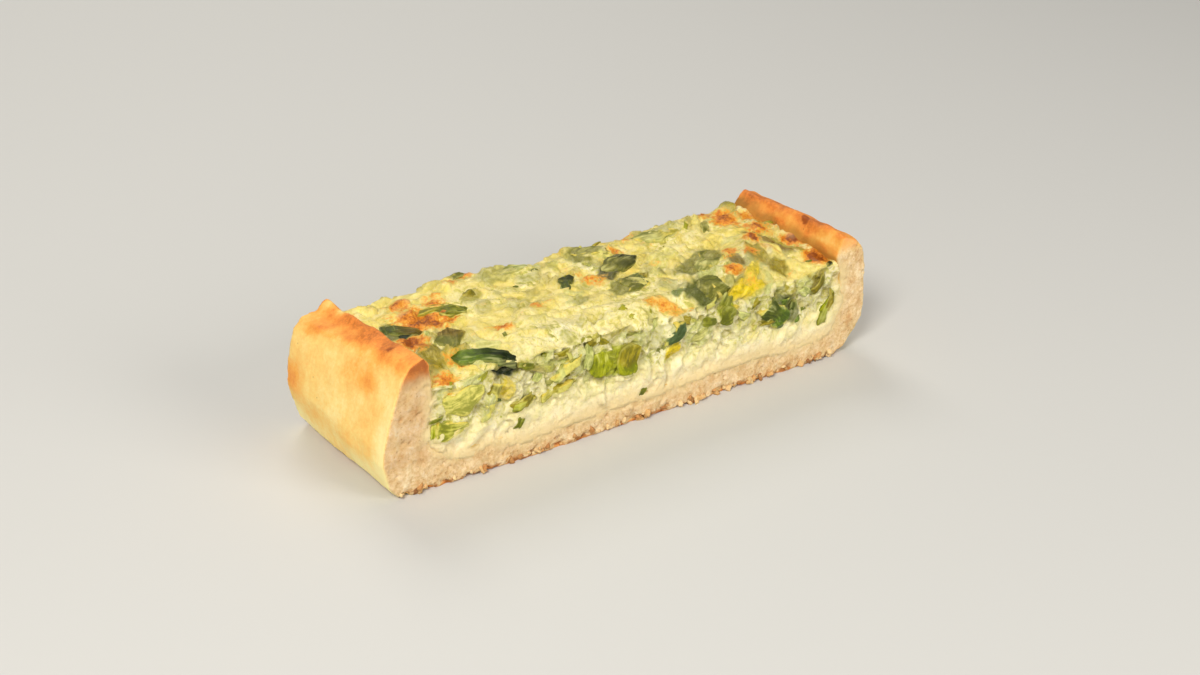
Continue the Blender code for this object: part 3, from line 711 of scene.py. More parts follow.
def smooth_step(values, low, high):
    share = np.clip((values - low) / (high - low), 0, 1)
    return share * share * (3 - 2 * share)


def lumps(points, size, seed=0.0, stretch=(1, 1, 1)):
    """Smooth noise, about -1 to 1, with lumps of that size."""
    return np.array([noise.noise(Vector(p)) for p in points * stretch / size + seed])


def wander(points, size, reach, seed=0.0):
    """The points pushed about, so that patterns on them don't look regular."""
    noise.seed_set(BEND_SEED)
    return points + reach * np.array([noise.noise_vector(Vector(p)) for p in points / size + seed])


def knobs(points, size, seed=0.0):
    """Rounded knobs: 0 in the creases between them, towards 1 on their crowns."""
    near = np.array([noise.voronoi(Vector(p))[0][:2] for p in points / size + seed])
    return np.minimum(1, 1.4 * (near[:, 1] - near[:, 0]))


def folds(points, size, seed=0.0, stretch=(1, 1, 1)):
    """Sharp wrinkles: 1 along their crests, falling off to 0 between them."""
    return 1 - np.minimum(1, 2.2 * np.abs(lumps(points, size, seed, stretch)))


def spots(points, rows, axes):
    """The strongest of many soft spots at each point. A row is centre, centre, reach, strength."""
    total = np.zeros(len(points))
    for first, second, reach, strength in rows:
        apart = (points[:, axes[0]] - first) ** 2 + (points[:, axes[1]] - second) ** 2
        total = np.maximum(total, strength * np.exp(-apart / reach**2))
    return total


def tree_of(nodes):
    mesh = merged_copy(nodes)
    tree = BVHTree.FromBMesh(mesh)
    mesh.free()
    return tree


def blend(first, second, share):
    return first + (second - first) * share


def hill(distance, reach):
    """1 at no distance, falling off to 0 beyond reach."""
    return np.exp(-((distance / reach) ** 2))


def slumped(points):
    """The filling as it settled: its front edge worn round, its back edge less so, and soft swells on top."""
    x, y, z = points.T
    top = FILLING_TOP + 0.6
    wear = 0.7 + sum(depth * hill(x - centre, reach) for centre, depth, reach in WORN_EDGE)
    wear += 0.5 * lumps(points * (1, 0, 0), 4.5, 91)
    from_front = np.hypot(np.maximum(0, y + HALF_DEPTH), np.maximum(0, top - z))
    from_back = np.hypot(np.maximum(0, HALF_DEPTH - y), np.maximum(0, top - z))
    front = wear * np.maximum(0, 1 - from_front / 6.5) ** 1.6
    back = 0.9 * np.maximum(0, 1 - from_back / 5.0) ** 1.6
    swell = 0.55 * lumps(points * (1, 1, 0), 9.0, 93) * smooth_step(z, 18, 24)
    inward, upward = 0.75 * front - 0.5 * back, swell - 0.8 * front - 0.6 * back
    return points + np.stack([0 * x, inward, upward], axis=1)


def random_strips(face, count, seed):
    """Chopped leek and folds of custard laid by chance: rich in leek where the slice is."""
    draw = random.Random(seed)
    made = []
    for _ in range(count):
        x = draw.uniform(-50, 52)
        if face == "top":
            height = draw.uniform(-17, 17.5)
            near = [s * math.exp(-((x - u) ** 2 + (height - v) ** 2) / r**2) for u, v, r, s in LEEKY]
            rich = 0.3 + max(near)
            tones = ("grey", "sage", "olive", "mint", "pale", "straw", "sage")
            if rich <= 0.45:
                tones = ("straw", "pale", "cream")
            rise, turn = draw.uniform(0.2, 0.75), draw.gauss(12, 42)
            length, width = draw.uniform(3.5, 9.5), draw.uniform(1.3, 3.2)
        else:
            height = 7.0 + 17.5 * draw.random() ** 0.8
            rich = min(1.0, max(0.3, (height - 9.5) / 7.5))
            tones = ("mint", "pale", "cream", "sage", "lime_pale", "cream", "mint", "olive", "cream", "mint")
            if rich < 0.5:
                tones = ("cream", "pale", "cream", "mint", "straw")
            rise, turn = draw.uniform(-0.9, 0.9), draw.gauss(40, 50)
            length, width = draw.uniform(2.5, 7.5), draw.uniform(1.0, 2.7)
        veil = draw.uniform(0.35, 0.95) * min(1.0, rich + 0.1)
        bend = draw.uniform(-0.06, 0.06)
        made.append(Strip(face, x, height, length, width, turn, bend, draw.choice(tones), veil, rise))
    return made


class Laid:
    """What strips do to the surface they show through: tone, veil, vein, height and the groove below."""

    def __init__(self, points):
        count = len(points)
        self.points = wander(points, 2.4, 0.45, 23)
        self.rough = lumps(points, 1.7, 27) + 0.6 * lumps(points, 0.8, 28)
        self.tint = np.tile(TINTS["pale"], (count, 1))
        self.veil, self.vein, self.run, self.height, self.groove = (np.zeros(count) for _ in range(5))

    def lay(self, strip, number, where):
        up = 1 if strip.face == "top" else 2
        u, v = self.points[:, 0] - strip.along, self.points[:, up] - strip.height
        close = np.nonzero((np.hypot(u, v) < 0.75 * strip.length + 2.5) & (where > 0.02))[0]
        if not len(close):
            return
        turn, u, v = math.radians(strip.turn), u[close], v[close]
        along = u * math.cos(turn) + v * math.sin(turn)
        across = v * math.cos(turn) - u * math.sin(turn)
        across = across - strip.bend * along**2
        rough = 0.42 * self.rough[close]
        q = np.abs(2 * along / strip.length) ** 3 + np.abs(2 * across / strip.width) ** 3 + rough
        inside = (1 - smooth_step(q, 0.5, 1.4)) * where[close]
        self.tint[close] = blend(self.tint[close], TINTS[strip.tint], inside[:, None])
        self.veil[close] = blend(self.veil[close], strip.veil, inside)
        self.vein[close] = np.where(inside > 0.3, across + VEIN_STEP * number, self.vein[close])
        self.run[close] = np.where(inside > 0.3, along, self.run[close])
        tilt = 0.75 + 0.5 * across / strip.width
        crisp = (1 - smooth_step(q, 0.8, 1.15)) * where[close]
        self.height[close] = blend(self.height[close], strip.rise * tilt, crisp)
        beside = hill(across + 0.5 * strip.width + 0.35, 0.5)
        beside = beside * (1 - smooth_step(np.abs(2 * along / strip.length), 0.6, 1.1)) * where[close]
        deep = beside * abs(strip.rise) * 0.7
        self.groove[close] = np.maximum(self.groove[close], deep)


def laid_strips(points, top, cut):
    """All strips under the custard's surface: by chance first, then from the table.

    The back cut has strips by chance, and those of the front cut that stand out, seen from behind.
    """
    laid = Laid(points)
    where = {"top": top, "front": cut * (points[:, 1] < 0), "back": cut * (points[:, 1] > 0)}
    shown = [strip for strip in STRIPS if strip.face == "front" and strip.rise > 0]
    strips = random_strips("top", TOP_CHANCE, 5) + random_strips("front", CUT_CHANCE, 6) + STRIPS
    back = [
        strip._replace(face="back", along=BACK_SHIFT - strip.along)
        for strip in random_strips("front", CUT_CHANCE, 9) + shown
    ]
    for row in (strips, back):
        for number, strip in enumerate(row):
            laid.lay(strip, number, where[strip.face])
    return laid


def curds(points, upper):
    """Height of the cut custard, larger and rougher near the top; its big knobs; and its pits."""
    curd = sizes().curd * 1000
    moved = wander(points, 3.2, 1.1, 7)
    big, little = knobs(moved, curd, 1), knobs(moved, 0.45 * curd, 2)
    height = (0.08 + 0.64 * upper) * (big - 0.6) + (0.14 + 0.26 * upper) * (little - 0.5) - 0.2 * upper
    height += (0.25 + 0.75 * upper) * lumps(points, 3.6, 19) + (0.22 + 0.04 * upper) * lumps(points, 1.5, 5)
    pit = smooth_step(lumps(points, 2.7, 29, stretch=(0.8, 1, 1.3)), 0.3, 0.62) * upper
    return height - 1.1 * pit, big, pit


def puckers(points, to_crust):
    """Height of the baked skin: folds and small puckers, swelling towards the crust; and its long folds."""
    wrinkle = sizes().wrinkle * 1000
    bent = wander(points, 6.0, 1.8, 9)
    long_fold = folds(bent, wrinkle, 12, stretch=(0.62, 1.25, 1))
    short_fold = folds(bent, 0.42 * wrinkle, 13)
    lively = 0.35 + 0.65 * smooth_step(lumps(points, 8.0, 94), -0.25, 0.3)
    height = lively * (0.42 * (long_fold - 0.35) + 0.13 * (short_fold - 0.35)) + 0.08 * lumps(points, 1.1, 14)
    height += 0.5 * lumps(points, 3.4, 15) + 0.22 * lumps(points, 1.9, 16)
    height += 1.1 * hill(to_crust, 1.8) * (0.25 + lumps(points, 3.0, 64))
    return height, long_fold


def drawn_to(tree, points, limit, depth):
    """The points within limit of a surface, moved towards it: those next to it end depth further on."""
    moved = points.copy()
    for number, point in enumerate(points):
        place, _, _, apart = tree.find_nearest(Vector(point) * MM, limit * MM)
        if place is not None and apart > 0:
            pull = depth * (1 - apart / MM / limit) / apart
            moved[number] += pull * (np.array(place) / MM - point) * MM
    return moved


def nearest(nodes, points, limit=NEAR):
    """Distance to CAD nodes in millimetres, at most limit."""
    tree, limit = tree_of(nodes), limit * MM
    return np.array([tree.find_nearest(Vector(p) * MM, limit)[3] or limit for p in points]) / MM


# Pieces


class QUICHE_OT_pastry(Operator):
    """Make the pastry: smooth and golden outside, browned along its crests, crumbly where it is cut"""

    bl_idname = "quiche.pastry"
    bl_label = "Pastry"

    def execute(self, context):
        crust = fine_grained("pastry", ["crust"], sizes().pastry_grain)
        points, normals = points_of(crust)
        x, y, z = points.T
        depth = np.abs(y) - HALF_DEPTH
        cut = smooth_step(np.abs(normals[:, 1]), 0.35, 0.85) * smooth_step(depth, -2.6, -0.7)
        under = smooth_step(-normals[:, 2], 0.6, 0.9)
        # crumb of the cut: lumps, open pores and a few drag lines of the knife
        crumbly = 0.24 * lumps(points, 2.2) + 0.16 * (knobs(points, 1.3) - 0.5) + 0.1 * lumps(points, 0.9, 12)
        pore = smooth_step(lumps(points, 1.0, 11) + 0.5 * lumps(points, 3.5, 5), 0.42, 0.7)
        drag = 0.16 * lumps(points, 1.5, 3, stretch=(1, 1, 0.22))
        # outside: hand-pressed swells, fine blisters, and wrinkles along the crest
        crest = smooth_step(z, 24, 28.5)
        pressed = 0.34 * lumps(points, 8, 2) + 0.10 * lumps(points, 2.4, 4) + 0.045 * lumps(points, 1.0, 6)
        wrinkled = crest * (0.24 * lumps(points, 2.1, 8, stretch=(1, 0.5, 1)) - 0.24 * folds(points, 5.5, 9))
        push = cut * (crumbly + drag - 0.4 * pore - 0.1) + (1 - cut) * (1 - under) * (pressed + wrinkled)
        # ragged lower edge of the cuts
        ragged = smooth_step(depth, -2.0, -0.2) * smooth_step(-z, -2.1, -0.3)
        push -= ragged * (0.9 * smooth_step(lumps(points, 2.2, 21), -0.1, 0.4) - 0.3 * lumps(points, 1.0, 22))
        points = points + normals * push[:, None]
        points[:, 2] = np.where(z < 0.12, np.clip(z, 0, None), np.clip(points[:, 2], 0, None))
        set_points(crust, points)
        # browning, and painted shade on the cut near the left end
        side = np.sign(x)
        uneven = 0.25 * lumps(points, 6.5, 31) + 0.12 * lumps(points, 2.4, 33)
        rim = smooth_step(z + 0.10 * y + 7 * uneven, 22.5, 30.5)
        outer = smooth_step(np.abs(x), 52.5, 56.5)
        baked = 0.20 + (0.62 - 0.05 * (x > 0)) * rim * smooth_step(np.abs(x), 50, 53) + 0.30 * uneven
        for wall, spot_y, spot_z, reach, strength in WALL_SPOTS:
            baked += strength * hill(np.hypot(y - spot_y, z - spot_z), reach) * outer * (side == wall)
        pale = smooth_step(-y, 12.4, 16.0) * smooth_step(-z, -22, -14) * outer * (side < 0)
        baked = baked * (1 - 0.95 * pale)
        baked += 0.35 * under + 0.45 * ragged * smooth_step(lumps(points, 2.0, 41), -0.1, 0.4)
        baked -= 0.2 * smooth_step(-z, -9, -3) * outer
        inner_slope = smooth_step(x, 50.5, 52.0) * smooth_step(-x, -55.5, -53.0)
        inner_slope = inner_slope * smooth_step(-z, -27.5, -25.0)
        inner_slope = inner_slope * (1 + 1.6 * np.clip(lumps(points, 2.6, 47), 0, 1))
        baked += 0.3 * inner_slope + spots(points, RIM_SPECKS, (0, 1)) * smooth_step(z, 18, 21)
        baked = baked * (1 - 0.95 * spots(points, PALE_FLAKE, (0, 1)) * smooth_step(z, 24, 27))
        crisp = smooth_step(lumps(points, 1.6, 41), -0.25, 0.3)
        # painted shade: the cut near the left end drawn darker as if toasted; the rest of the cut's heat is
        # toasting by the rim and at the ragged lower edge
        left_cut_shade = smooth_step(-x, 49, 53) * smooth_step(z, 3, 8)
        cut_heat_and_shade = 0.5 * smooth_step(z + 5 * uneven, 22.5, 28.5) + 1.0 * ragged * crisp + 0.5 * left_cut_shade
        # soaked by the custard, in the cuts and on the inside of the right wall
        inner = smooth_step(55.5 - x, 0, 1.5) * (x > 0)
        spread = 3.0 + 1.6 * lumps(points, 3.2, 43)
        set_attributes(
            crust,
            baked=np.clip(blend(baked, cut_heat_and_shade, cut), 0, 1),
            cut=cut * (1 - 0.75 * smooth_step(z + 4 * uneven, 24.5, 28.0)),
            # where the finish paints shade in the pores
            pore=pore * cut,
            soaked=hill(nearest(["filling"], points), spread) * np.maximum(cut, inner),
        )
        finished(crust, pastry_finish(), "crust", "crust")
        return {"FINISHED"}


class QUICHE_OT_custard(Operator):
    """Make the custard: curdled in the cuts, with a folded, browned skin and leek showing through"""

    bl_idname = "quiche.custard"
    bl_label = "Custard"

    def execute(self, context):
        custard = fine_grained("custard", ["filling", *LEEK_NODES], sizes().custard_grain, smoothing=2)
        points, normals = points_of(custard)
        reach = nearest(LEEK_NODES, points)
        to_crust = nearest(["crust"], points)
        points = drawn_to(tree_of(["crust"]), points, 3.2, 2.0)
        covered = smooth_step(lumps(points, 2.6, 51), 0.05, 0.35)
        covered = covered * smooth_step(nearest(BARE_LEEK, points, 3.0), 1.0, 2.2)
        still = points
        set_points(custard, slumped(points))
        points, normals = points_of(custard)
        x, y, z = points.T
        # where the surface is baked skin, cut, beside the crust, or hidden by it
        edge = 2.3 * lumps(points, 4.2, 17) + 1.2 * lumps(points, 1.9, 18)
        facing_up = smooth_step(normals[:, 2], 0.2, 0.75)
        facing_cut = smooth_step(np.abs(normals[:, 1]), 0.35, 0.8)
        skin = facing_up * smooth_step(z + edge, 18.5, 21.5)
        skin = np.maximum(skin, 0.75 * smooth_step(z + edge, 20.5, 24.0))
        skin = skin * (1 - 0.55 * smooth_step(-y, 2, 13) * hill(x + 12, 17))
        touching = smooth_step(-to_crust, -0.75, -0.4) * (1 - facing_up) * (1 - facing_cut)
        beside_crust = smooth_step(-to_crust, -1.6, -0.5) * facing_cut
        hidden = np.maximum(smooth_step(-normals[:, 2], 0.5, 0.8), touching)
        # relief: strips, curds of the cuts, folds of the skin, and how they lie to the leek set in them
        laid = laid_strips(points, facing_up * smooth_step(z, 18.5, 21), facing_cut)
        upper = smooth_step(z, 9, 17)
        curdled, big, pit = curds(points, upper)
        puckered, long_fold = puckers(points, to_crust)
        on_leek = smooth_step(-reach, -0.42, -0.2)
        lip = hill(reach - 0.9, 0.6) * smooth_step(lumps(still, 2.0, 53), -0.1, 0.35)
        push = skin * puckered + (1 - skin) * curdled + laid.height - laid.groove
        push = push * (1 - 0.75 * on_leek) + on_leek * (0.3 * covered - 0.28) + 0.38 * lip
        push = blend(blend(push, 0.12, 0.9 * beside_crust), 0.55, hidden)
        push = np.where((facing_cut > 0.5) & (hidden < 0.5), np.minimum(push, 0.8), push)
        set_points(custard, points + normals * push[:, None])
        # how far it browned
        heat = spots(points, BROWNED, (0, 1)) * skin * (0.7 + 0.5 * long_fold)
        heat += 0.1 * skin * (long_fold + smooth_step(np.abs(x), 49, 53))
        baking = 0.26 * np.clip(lumps(points, 4.0, 61), 0, 1) + 0.2 * np.clip(laid.height, 0, 0.8)
        heat += skin * baking * (1 - 0.7 * laid.veil)
        heat += 0.3 * hill(to_crust, 1.4) * skin * (0.6 + lumps(points, 2.6, 62))
        # tones: the plain low part, painted shade in creases and pits, painted highlights on crowns, and
        # chopped leek
        low = 1 - smooth_step(z + 2.0 * lumps(points, 4.0, 97), 7.5, 13.0)
        low = np.maximum(low, hill(to_crust, 1.2) * (1 - skin))
        # where the finish paints shade: creases between the curds, pits, and hollows of the skin
        creased = (1 - skin) * np.maximum(1.1 * (1 - big) * upper, 1.4 * pit)
        creased += 0.4 * skin * smooth_step(-puckered, 0.05, 0.5)
        # where the finish paints highlights: crests of the skin's puckers and of the curds
        high = skin * smooth_step(puckered, 0.0, 0.65)
        high += (1 - skin) * upper * smooth_step(curdled, -0.4, 0.3)
        rich = np.maximum(smooth_step(z + 3.5 * lumps(points, 5.0, 95), 10.0, 15.5), 0.3) * (1 - skin)
        leeky = 0.88 * spots(points, LEEKY, (0, 1)) * smooth_step(lumps(points, 4.5, 96), -0.35, 0.25)
        mince = 0.8 * rich + (leeky + 0.12) * skin
        set_attributes(
            custard,
            crown=np.clip(high * (1 - laid.veil * smooth_step(laid.veil, 0.7, 1.0)), 0, 1),
            skin=skin,
            brown=np.clip(heat, 0, 1),
            veil=np.clip(np.maximum(laid.veil, 0.35 * hill(reach, 0.8)) * (1 - 0.8 * low), 0, 1),
            vein=laid.vein,
            run=laid.run,
            crease=np.clip(creased, 0, 1),
            mince=np.clip(mince * (1 - smooth_step(heat, 0.2, 0.5)), 0, 1),
            low=low,
            soaked=hill(to_crust, 2.0) * (1 - skin),
            tint=laid.tint,
        )
        finished(custard, custard_finish(), "filling", "filling")
        return {"FINISHED"}


def film_of(normals):
    """Tone of the custard that clings to leek: yellow skin on top, cream in the cuts."""
    top = smooth_step(normals[:, 2], 0.2, 0.7)[:, None]
    return blend(TINTS["pale"], TINTS["straw"], top)


class QUICHE_OT_leek(Operator):
    """Make each piece of cooked leek: a soft veined leaf in the place of its CAD node"""

    bl_idname = "quiche.leek"
    bl_label = "Leek"

    def execute(self, context):
        finish = leek_finish()
        for number, node in enumerate(LEEK_NODES):
            leaf = fine_grained("cooked_" + node, [node], sizes().leek_grain, smoothing=4)
            bare, on_top = node in BARE_LEEK, "_top_" in node
            points, normals = points_of(leaf)
            # the leaf's own directions: through it, across it and along it
            middle = points - points.mean(0)
            _, directions = np.linalg.eigh(np.cov(middle.T))
            flat, across, along = directions.T
            along = along * math.copysign(1, along[0] - along[1])
            if "_cut_block" in node:
                along = np.array((0, 0, 1)) - flat * flat[2]
                along = along / np.linalg.norm(along)
                across = np.cross(flat, along)
            through, rib, run = middle @ flat, middle @ across, middle @ along
            side_on = 1 - smooth_step(np.abs(normals @ flat), 0.35, 0.75)
            # waves, torn edges and ribs
            wave = 0.30 * lumps(points, 3.4, number) + 0.12 * lumps(points, 1.3, 7 + number)
            torn = (0.25 if bare else 0.45) * lumps(points, 1.7, 17 + number) * side_on
            drawn = np.stack([rib, 0.15 * run, 0 * rib], axis=1)
            ribs = 0.12 * lumps(drawn, 0.9, number) * (1 - side_on)
            bent = wander(points, 3.6, 1.3, 7 * number) - points
            bent -= (bent @ flat)[:, None] * flat
            sunk = 0.1 if bare else (-0.08 if on_top else 0.0)
            set_points(leaf, slumped(points) + bent + normals * (sunk + wave + torn + ribs)[:, None])
            # custard that clings to it, most of all along its edge
            to_edge = np.maximum(np.abs(run) / run.max(), np.abs(rib) / rib.max())
            film = 0.85 * smooth_step(to_edge + 0.45 * lumps(points, 2.0, 63), 0.6, 1.1)
            film += 0.5 * lumps(points, 2.6, 51)
            if bare:
                film = 0.4 * film - 0.1
            elif on_top:
                film = 0.8 * film - 0.05
            fade = run + 2.5 * lumps(points, 3.0, 5 + number)
            fade = smooth_step(fade, 0.6 * run.min(), 0.6 * run.max())
            first, last = (TINTS[tint] for tint in NODE_TINTS[node])
            set_attributes(
                leaf,
                vein=rib + number * VEIN_STEP,
                run=run,
                layer=through,
                rim=side_on,
                film=np.clip(film + 0.05, 0, 1),
                tint=blend(first, last, fade[:, None]),
                cover=film_of(normals),
            )
            finished(leaf, finish, SLOT_OF[node], node)
        return {"FINISHED"}


def sheet(length, width, curl, seed, steps=(18, 8)):
    """Points, faces, across and edge values of a thin curled leaf with an uneven outline. It faces up."""
    columns, rows = steps
    u, v = np.meshgrid(np.linspace(-1, 1, columns + 1), np.linspace(-1, 1, rows + 1), indexing="ij")
    flat = np.stack([u.ravel() * length / 2, v.ravel() * width / 2, np.zeros(u.size)], axis=1)
    narrowed = 1 - 0.28 * np.abs(u.ravel()) ** 3 + 0.42 * lumps(flat * (1, 0, 0), 1.4, seed)
    ends = 0.9 * lumps(flat * (0, 1, 0), 1.1, seed + 5) * np.abs(u.ravel()) ** 2
    along, across = flat[:, 0] + ends, flat[:, 1] * narrowed
    ripple = 0.3 * lumps(flat, 2.2, seed + 9) + 0.12 * lumps(flat, 0.9, seed + 13)
    cup = 0.12 * across**2
    to_edge = np.maximum(np.abs(u), np.abs(v)).ravel()
    layers = []
    for side in (0.5, -0.5):
        out = curl + side * LEAF_THICKNESS * (1 - 0.5 * to_edge**6)
        up = np.cos(along / curl) * out - curl + ripple + cup
        layers.append(np.stack([np.sin(along / curl) * out, across, up], axis=1))
    count = u.size
    index = np.arange(count).reshape(columns + 1, rows + 1)
    corners = (index[:-1, :-1], index[1:, :-1], index[1:, 1:], index[:-1, 1:])
    top = np.stack(corners, axis=-1).reshape(-1, 4)
    ring = np.concatenate([index[:-1, 0], index[-1, :-1], index[:0:-1, -1], index[0, :0:-1]])
    after = np.roll(ring, -1)
    sides = np.stack([ring, ring + count, after + count, after], axis=1)
    faces = np.concatenate([top, top[:, ::-1] + count, sides])
    rim = np.tile(smooth_step(to_edge, 0.8, 1.0), 2)
    return np.concatenate(layers), faces, np.tile(across, 2), rim


class QUICHE_OT_small_leek(Operator):
    """Lay the small loose leaves of leek on the top and in the cuts"""

    bl_idname = "quiche.small_leek"
    bl_label = "Small leek"

    def execute(self, context):
        depsgraph = bpy.context.evaluated_depsgraph_get()
        surface = BVHTree.FromObject(bpy.data.objects["custard"], depsgraph)
        rows = {"points": [], "faces": [], "vein": [], "run": [], "rim": [], "tint": [], "cover": []}
        start = 0
        shown = [leaf for leaf in LEAVES if leaf.face == "front"]
        back = [
            leaf._replace(face="back", along=-leaf.along, turn=180 - leaf.turn) for leaf in shown[::2]
        ]
        for number, leaf in enumerate(LEAVES + back):
            points, faces, across, rim = sheet(leaf.length, leaf.width, leaf.curl, 3.1 * number)
            # the place on the custard, and the directions of a leaf that lies there
            down = Vector(INWARD[leaf.face])
            spot = (leaf.along, leaf.height, 0) if leaf.face == "top" else (leaf.along, 0, leaf.height)
            hit, normal, _, _ = surface.ray_cast((Vector(spot) - FAR * down) * MM, down)
            if hit is None:
                raise RuntimeError(f"leaf {number} misses the custard")
            out = (normal.normalized() - 1.6 * down).normalized()
            ahead = (Vector((1, 0, 0)) - out.x * out).normalized()
            twist = math.radians(leaf.turn)
            ahead = math.cos(twist) * ahead + math.sin(twist) * out.cross(ahead)
            place = np.array((ahead, out.cross(ahead), out))
            placed = points @ place + np.array(hit) / MM + 0.02 * np.array(out)
            tint = TINTS[leaf.tint]
            fade = smooth_step(points[:, 0] + 1.2 * lumps(placed, 2.0, 7), 0, 0.7 * leaf.length)
            made = {
                "points": placed,
                "faces": faces + start,
                "vein": across + VEIN_STEP * number,
                "run": points[:, 0],
                "rim": rim,
                "tint": blend(tint, blend(tint, TINTS["sage"], 0.3), fade[:, None]),
                "cover": film_of(np.tile(np.array(out), (len(placed), 1))),
            }
            for name, values in made.items():
                rows[name].append(values)
            start += len(placed)
        rows = {name: np.concatenate(parts) for name, parts in rows.items()}
        obj = new_object("leek_leaves", None)
        points, faces = rows.pop("points"), rows.pop("faces")
        obj.data.from_pydata(points * MM, [], faces.tolist())
        set_points(obj, points)
        set_attributes(obj, layer=rows["vein"], film=np.clip(0.9 * lumps(points, 2.2, 57), 0, 1), **rows)
        finished(obj, bpy.data.materials["cooked_leek"], "leek_green")
        return {"FINISHED"}


# Geometry Nodes: small things scattered over a surface


class Recipe(Nodes):
    """A Geometry Nodes tree with named inputs."""

    def __init__(self, name, inputs):
        self.tree = bpy.data.node_groups.new(name, "GeometryNodeTree")
        sockets = self.tree.interface
        sockets.new_socket("Geometry", in_out="OUTPUT", socket_type="NodeSocketGeometry")
        sockets.new_socket("Surface", in_out="INPUT", socket_type="NodeSocketGeometry")
        self.identifiers = {
            label: sockets.new_socket(label, in_out="INPUT", socket_type=kind).identifier
            for label, kind in inputs.items()
        }
        self.inputs = self.tree.nodes.new("NodeGroupInput").outputs
        self.output = self.tree.nodes.new("NodeGroupOutput").inputs[0]

    def given(self, label):
        return Value(self, self.inputs[label])

    def chance(self, low, high, seed=0):
        """A random number or vector for each point."""
        if isinstance(low, tuple):
            inputs = {0: low, 1: high, "Seed": seed}
            return self.node("FunctionNodeRandomValue", {"data_type": "FLOAT_VECTOR"}, inputs)
        inputs = {2: low, 3: high, "Seed": seed}
        return self.node("FunctionNodeRandomValue", {"data_type": "FLOAT"}, inputs, output=1)

    def vector_math(self, operation, inputs):
        return self.node("ShaderNodeVectorMath", {"operation": operation}, inputs)

    def apply(self, obj, values):
        modifier = obj.modifiers.new(self.tree.name, "NODES")
        modifier.node_group = self.tree
        for label, value in values.items():
            modifier[self.identifiers[label]] = value
        return applied(obj)


def scatter_recipe(name, shape, own, material, sizes_mm, lying, rough):
    """Copies of shape on the surface where its attribute "sow" is set, each turned and sized by chance.

    own names the attribute that gives each copy its own value from 0 to 1. A lying copy keeps to the
    surface, turned about its normal. rough is how high and wide the bumps of a copy are, in millimetres.
    """
    recipe = Recipe(name, {"Density": "NodeSocketFloat", "Seed": "NodeSocketInt"})
    sow = recipe.node("GeometryNodeInputNamedAttribute", {"data_type": "FLOAT"}, {"Name": "sow"})
    inputs = {"Mesh": recipe.given("Surface"), "Seed": recipe.given("Seed")}
    inputs["Density"] = sow * recipe.given("Density")
    points = recipe.node("GeometryNodeDistributePointsOnFaces", {}, inputs, "Points")
    if lying:
        twist = recipe.chance((-0.5, -0.5, -3.1), (0.5, 0.5, 3.1))
        surface_turn = Value(recipe, points.socket.node.outputs["Rotation"])
        inputs = {0: surface_turn, 1: recipe.node("FunctionNodeEulerToRotation", {}, {0: twist})}
        turned = recipe.node("FunctionNodeRotateRotation", {"rotation_space": "LOCAL"}, inputs)
    else:
        turned = recipe.chance((-3.1, -3.1, -3.1), (3.1, 3.1, 3.1))
    size = recipe.chance(sizes_mm[0] * MM, sizes_mm[1] * MM, 3)
    squash = recipe.chance((0.7, 0.7, 0.7), (1.3, 1.3, 1.1), 5)
    scale = recipe.vector_math("SCALE", {0: squash, "Scale": size})
    marked = recipe.node(
        "GeometryNodeStoreNamedAttribute",
        {"data_type": "FLOAT", "domain": "POINT"},
        {"Geometry": points, "Name": own, "Value": recipe.chance(0.0, 1.0, 9)},
    )
    inputs = {"Points": marked, "Instance": shape(recipe), "Rotation": turned, "Scale": scale}
    placed = recipe.node("GeometryNodeInstanceOnPoints", {}, inputs)
    real = recipe.node("GeometryNodeRealizeInstances", {}, {"Geometry": placed})
    roughened = rough_surface(recipe, real, rough[0] * MM, rough[1] * MM)
    inputs = {"Geometry": roughened, "Material": material}
    result = recipe.node("GeometryNodeSetMaterial", {}, inputs)
    recipe.tree.links.new(result.socket, recipe.output)
    return recipe


def rough_surface(recipe, geometry, height, size):
    """Pushes the points of a shape about by noise, so that no two copies are alike."""
    pattern = recipe.node("ShaderNodeTexNoise", {}, {"Scale": 1 / size, "Detail": 2.0}, output="Color")
    centred = recipe.vector_math("SUBTRACT", {0: pattern, 1: (0.5, 0.5, 0.5)})
    offset = recipe.vector_math("SCALE", {0: centred, "Scale": 4 * height})
    return recipe.node("GeometryNodeSetPosition", {}, {"Geometry": geometry, "Offset": offset})


def box(recipe, size, corners):
    """A box whose sides have that many points along X, Y and Z."""
    counts = {f"Vertices {axis}": count for axis, count in zip("XYZ", corners)}
    return recipe.node("GeometryNodeMeshCube", {}, {"Size": size, **counts})


def chunk(recipe):
    """A flat crumb with corners, before its faces are pushed about."""
    return box(recipe, (1.7, 1.3, 0.8), (4, 4, 3))


def curved_bit(recipe):
    """A short strip of leek, bent along its length."""
    strip = box(recipe, (4.0, 1.8, 0.5), (7, 4, 3))
    along = recipe.node("ShaderNodeSeparateXYZ", {}, {0: recipe.node("GeometryNodeInputPosition")})
    offset = recipe.node("ShaderNodeCombineXYZ", {}, {2: along * along * -0.22})
    return recipe.node("GeometryNodeSetPosition", {}, {"Geometry": strip, "Offset": offset})


def scattered(name, source, sow, count, seed, slot, **kinds):
    """A piece made of about count small bits over the places of source where sow is above 0.

    kinds are the rest of scatter_recipe's arguments.
    """
    obj = new_object(name, None)
    obj.data = source.data.copy()
    set_attributes(obj, sow=sow)
    area = 0.0
    for face in obj.data.polygons:
        share = sum(sow[v] for v in face.vertices) / len(face.vertices)
        area += share * face.area
    recipe = scatter_recipe(name, **kinds)
    recipe.apply(obj, {"Density": count / max(area, 1e-9), "Seed": seed})
    points, _ = points_of(obj)
    set_points(obj, points)
    return finished(obj, kinds["material"], slot)


